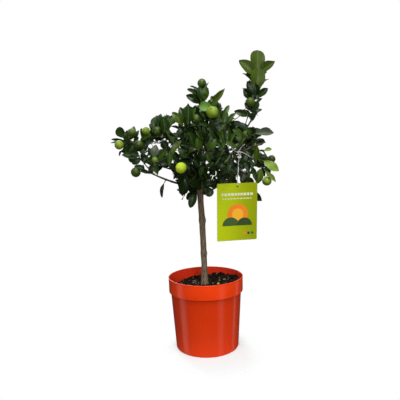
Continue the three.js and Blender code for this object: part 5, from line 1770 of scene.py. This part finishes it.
fruit_shapes = collect("fruit_shapes", [fruit_shape()])
for tint, (shade, light) in FRUIT_COLOURS.items():
    skins = (peel(f"peel_{tint}", shade, light),
             earthy(f"blossom_end_{tint}", (0.10, 0.13, 0.02, 1), (0.14, 0.17, 0.03, 1), 300, 0.7),
             earthy(f"button_{tint}", (0.05, 0.09, 0.02, 1), (0.10, 0.15, 0.04, 1), 300, 0.7))
    rows = [(fruit.centre, fruit.turn, (fruit.diameter,) * 3, 0) for fruit in fruits[tint]]
    piece = set_out(f"fruits_{tint}", rows, fruit_shapes, skins)
discard(fruit_shapes)


# The label: a stiff lime-green card with round corners and a punched hole, printed on its front with plain
# bars, a round orange sun over two dark green hills, and three small dots.
LABEL_WIDTH = 105
LABEL_HEIGHT = 148
LABEL_THICKNESS = 0.8
LABEL_CORNER = 2.5
LABEL_HOLE_RADIUS = 2.6
LABEL_HOLE_DROP = 8
LABEL_TOP = (86.1, -58, 438)
LABEL_TURN = radians(10.6)
LABEL_SWING = radians(5.7)
LABEL_BEVEL = 0.08
LABEL_WELD = 1e-5
INK_THICKNESS = 0.05
CARD_LIME = (0.50, 0.61, 0.006, 1)
CARD_DEEP_LIME = (0.27, 0.32, 0.001, 1)
CARD_DEEPENS = (0.02, 0.14)
CARD_SHINE = 0.15
INK_SHADE = 0.86
INKS = {
    "pale": (0.74, 0.78, 0.50, 1), "orange": (0.90, 0.24, 0.01, 1), "amber": (0.95, 0.46, 0.02, 1),
    "dark_green": (0.030, 0.065, 0.012, 1), "mid_green": (0.050, 0.110, 0.020, 1),
    "blue": (0.02, 0.03, 0.12, 1)}
ARC_STEPS = 5
HILL_STEPS = 24
HOLE_STEPS = 24
# Each row of bars, measured from the middle of the card's top: its left and right end, foot, top and seed.
BAR_ROWS = [(-41, 41, -31.5, -25, 3), (-39, 39, -40.5, -38, 5)]
BAR_WIDTHS = (3.5, 8.5)
BAR_GAP = 1.7
LAST_BAR = 4
BAR_CORNER = 0.8
label_turn = Matrix.Rotation(LABEL_TURN, 4, "Z") @ Matrix.Rotation(LABEL_SWING, 4, "X")
label_place = Matrix.Translation(Vector(LABEL_TOP)) @ label_turn


def arc(x, y, radius, start, end, steps):
    return [(x + radius * cos(angle), y + radius * sin(angle)) for angle in spread(start, end, steps)]


def disc(x, y, radius, sides):
    return arc(x, y, radius, 0, FULL_TURN * (sides - 1) / sides, sides - 1)


def hill(x, y, radius):
    return arc(x, y, radius, 0, pi, HILL_STEPS)


def rounded_bar(left, low, right, high, radius):
    outline = arc(right - radius, high - radius, radius, 0, pi / 2, ARC_STEPS)
    outline += arc(left + radius, high - radius, radius, pi / 2, pi, ARC_STEPS)
    outline += arc(left + radius, low + radius, radius, pi, 1.5 * pi, ARC_STEPS)
    return outline + arc(right - radius, low + radius, radius, 1.5 * pi, FULL_TURN, ARC_STEPS)


def plate(name, outlines, thickness, proud, bevel, finish):
    """A flat plate in the card's plane, cut to its outlines, with its middle proud of the card's middle."""
    curve = bpy.data.curves.new(name, "CURVE")
    curve.dimensions = "2D"
    curve.fill_mode = "BOTH"
    curve.extrude = thickness / 2 - bevel
    curve.bevel_depth = bevel
    curve.bevel_resolution = 1
    for outline in outlines:
        spline = curve.splines.new("POLY")
        spline.points.add(len(outline) - 1)
        for point, (x, y) in zip(spline.points, outline):
            point.co = (x, y, 0, 1)
        spline.use_cyclic_u = True
    holder = bpy.data.objects.new(name, curve)
    bpy.context.scene.collection.objects.link(holder)
    bpy.context.view_layer.update()
    mesh = bpy.data.meshes.new_from_object(holder.evaluated_get(bpy.context.evaluated_depsgraph_get()))
    bpy.data.objects.remove(holder)
    work = bmesh.new()
    work.from_mesh(mesh)
    bmesh.ops.remove_doubles(work, verts=work.verts, dist=LABEL_WELD)
    bmesh.ops.recalc_face_normals(work, faces=work.faces)
    work.to_mesh(mesh)
    work.free()
    upright = Matrix.Translation((0, -proud, 0)) @ Matrix.Rotation(pi / 2, 4, "X")
    mesh.transform(Matrix.Scale(MM, 4) @ label_place @ upright)
    mesh.name = name
    piece = add_piece(name, mesh, finish)
    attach(piece, "root")
    return piece


def card_stock():
    """Coated card: lime green, a little deeper to one side, with a smooth gloss and a faint fibre."""
    finish = Finish("lime_card", CARD_SHINE)
    fibre = finish.noise(scale=700, detail=4)
    share = finish.clamped(finish.part(finish.place, "X"), *CARD_DEEPENS)
    colour = finish.blend(share, CARD_LIME, CARD_DEEP_LIME)
    return finish.done(colour, 0.32 + 0.08 * fibre, fibre, strength=0.08, distance=0.5 * MM)


def ink(name, colour):
    finish = Finish(f"ink_{name}")
    screen = finish.noise(scale=400, detail=4)
    return finish.done(finish.blend(screen, tinted(colour, INK_SHADE), colour), 0.3 + 0.1 * screen)


def bar_row(left, right, low, high, seed):
    """A row of plain bars of uneven length, as a line of print looks when it is too small to read."""
    bars = []
    x = left
    while x < right - LAST_BAR:
        wide = min(BAR_WIDTHS[0] + (BAR_WIDTHS[1] - BAR_WIDTHS[0]) * draw(seed, len(bars)), right - x)
        bars.append(rounded_bar(x, low, x + wide, high, min(BAR_CORNER, (high - low) / 3)))
        x += wide + BAR_GAP
    return bars


card_outline = rounded_bar(-LABEL_WIDTH / 2, -LABEL_HEIGHT, LABEL_WIDTH / 2, 0, LABEL_CORNER)
hole_outline = disc(0, -LABEL_HOLE_DROP, LABEL_HOLE_RADIUS, HOLE_STEPS)
card = plate("label_card", [card_outline, hole_outline], LABEL_THICKNESS, 0, LABEL_BEVEL, card_stock())
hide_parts("label")
# Each printed shape: its name, its outlines, its ink and how many layers of ink it lies on.
PRINTED = [
    ("print_lines", [bar for row in BAR_ROWS for bar in bar_row(*row)], "pale", 0),
    ("print_sun", [disc(1, -80, 27, 48)], "orange", 0),
    ("print_sun_heart", [disc(1, -80, 15, 48)], "amber", 1),
    ("print_far_hill", [hill(-17, -109, 22)], "mid_green", 2),
    ("print_near_hill", [hill(19, -109, 20)], "dark_green", 3),
    ("print_dot_orange", [disc(20, -130, 3.6, 20)], "orange", 0),
    ("print_dot_blue", [disc(30, -130, 3.6, 20)], "blue", 0),
    ("print_dot_mid_green", [disc(40, -130, 3.6, 20)], "mid_green", 0)]
inks = {name: ink(name, colour) for name, colour in INKS.items()}
for name, outlines, ink_name, layer in PRINTED:
    proud = (LABEL_THICKNESS + INK_THICKNESS) / 2 + layer * INK_THICKNESS
    plate(name, outlines, INK_THICKNESS, proud, 0, inks[ink_name])


# The tie: a thin white thread through the card's hole and over a bough, drawn into a small knot under the
# bough, from where a strand rises to an upper knot with a bow and three loose ends.
TIE_BOUGH = "bough_right_front"
TIE_AT = 0.72
TIE_RADIUS = 0.6
TIE_GAP = 0.55
TIE_WRAP = (3.49, -0.35)
TIE_WRAP_STEPS = 12
TIE_OVER_EDGE = 4
TIE_ABOVE_HOLE = 3
TIE_PINCH = 0.8
TIE_END_RADIUS = 0.45
TIE_END_FORWARD = 4
TIE_END_STEPS = 8
TIE_KNOT_DROP = 2
# Each knot: how wide and deep its coil is, its rise to the radian, its turns, its steps and where it starts.
LOW_COIL = (1.5, 1.7, 0.5, 2, 24, (0, -0.4, -2))
HIGH_COIL = (1.2, 1.2, 0.4, 1, 12, (0, 0, -1))
# The bow: its half width and height, its steps, and where it starts from the upper knot.
BOW = (3.4, 4.5, 20, (2.6, -1.5, -7))
TIE_SIDES = 8
TIE_COLOURS = ((0.60, 0.60, 0.56, 1), (0.90, 0.90, 0.86, 1))


def coil(knot, width, depth, rise, turns, steps, start):
    first = knot + Vector(start)
    angles = spread(0, FULL_TURN * turns, steps)
    return [first + Vector((width * cos(a), depth * sin(a), rise * a)) for a in angles]


def bow_loop(knot, width, height, steps, start):
    first = knot + Vector(start)
    return [first + Vector((width * sin(a), 0, height * (1 - cos(a)))) for a in spread(0, FULL_TURN, steps)]


def tie_loop(over, axis, around):
    """The closed loop: from the hole up one side of the card, over the bough and down the other side."""
    across = Vector((axis.y, -axis.x, 0)).normalized()
    strand = LABEL_THICKNESS / 2 + TIE_RADIUS + TIE_GAP
    rise = [
        (0, LABEL_HOLE_DROP),
        (strand * TIE_PINCH, LABEL_HOLE_DROP - TIE_RADIUS),
        (strand, LABEL_HOLE_DROP - TIE_ABOVE_HOLE),
        (strand, -TIE_OVER_EDGE)]
    loop = [label_place @ Vector((0, side, -drop)) for side, drop in rise]
    for turn in spread(*TIE_WRAP, TIE_WRAP_STEPS):
        lean = turn if across.y < 0 else pi - turn
        loop.append(over + across * (around * cos(lean)) + UP * (around * sin(lean)))
    return loop + [label_place @ Vector((0, -side, -drop)) for side, drop in reversed(rise)]


def tie_lines():
    """The tie's lines of points, each with its radius at foot and tip."""
    over, axis = point_along(limbs[TIE_BOUGH].path, TIE_AT)
    foot, tip = limbs[TIE_BOUGH].radii
    around = foot + (tip - foot) * TIE_AT + TIE_RADIUS + TIE_GAP
    knot = over + FRONT * around - UP * (around + TIE_KNOT_DROP)
    high_knot = seen_at(*TIE_KNOT, TIE_DEPTH)
    stand = stand_list[all_stands.find(high_knot)[1]][0]
    rising = [knot, (knot + high_knot) / 2 + FRONT, high_knot]
    thick = [tie_loop(over, axis, around), coil(knot, *LOW_COIL), rising]
    thin = [[high_knot, (high_knot + stand) / 2 + UP * 2, stand], coil(high_knot, *HIGH_COIL),
            bow_loop(high_knot, *BOW)]
    for end_x, end_y, sag in TIE_ENDS:
        end = seen_at(end_x, end_y, TIE_DEPTH - TIE_END_FORWARD)
        shares = spread(0, 1, TIE_END_STEPS)
        thin.append([high_knot.lerp(end, t) + UP * (sag * 4 * t * (1 - t)) for t in shares])
    lines = [(line, TIE_RADIUS, TIE_RADIUS) for line in thick]
    return lines + [(line, TIE_END_RADIUS, TIE_END_RADIUS) for line in thin]


tie = make_tubes("label_thread", tie_lines(), TIE_SIDES, earthy("white_cotton", *TIE_COLOURS, 900, 0.9))
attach(tie, "root")
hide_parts("label_tie")
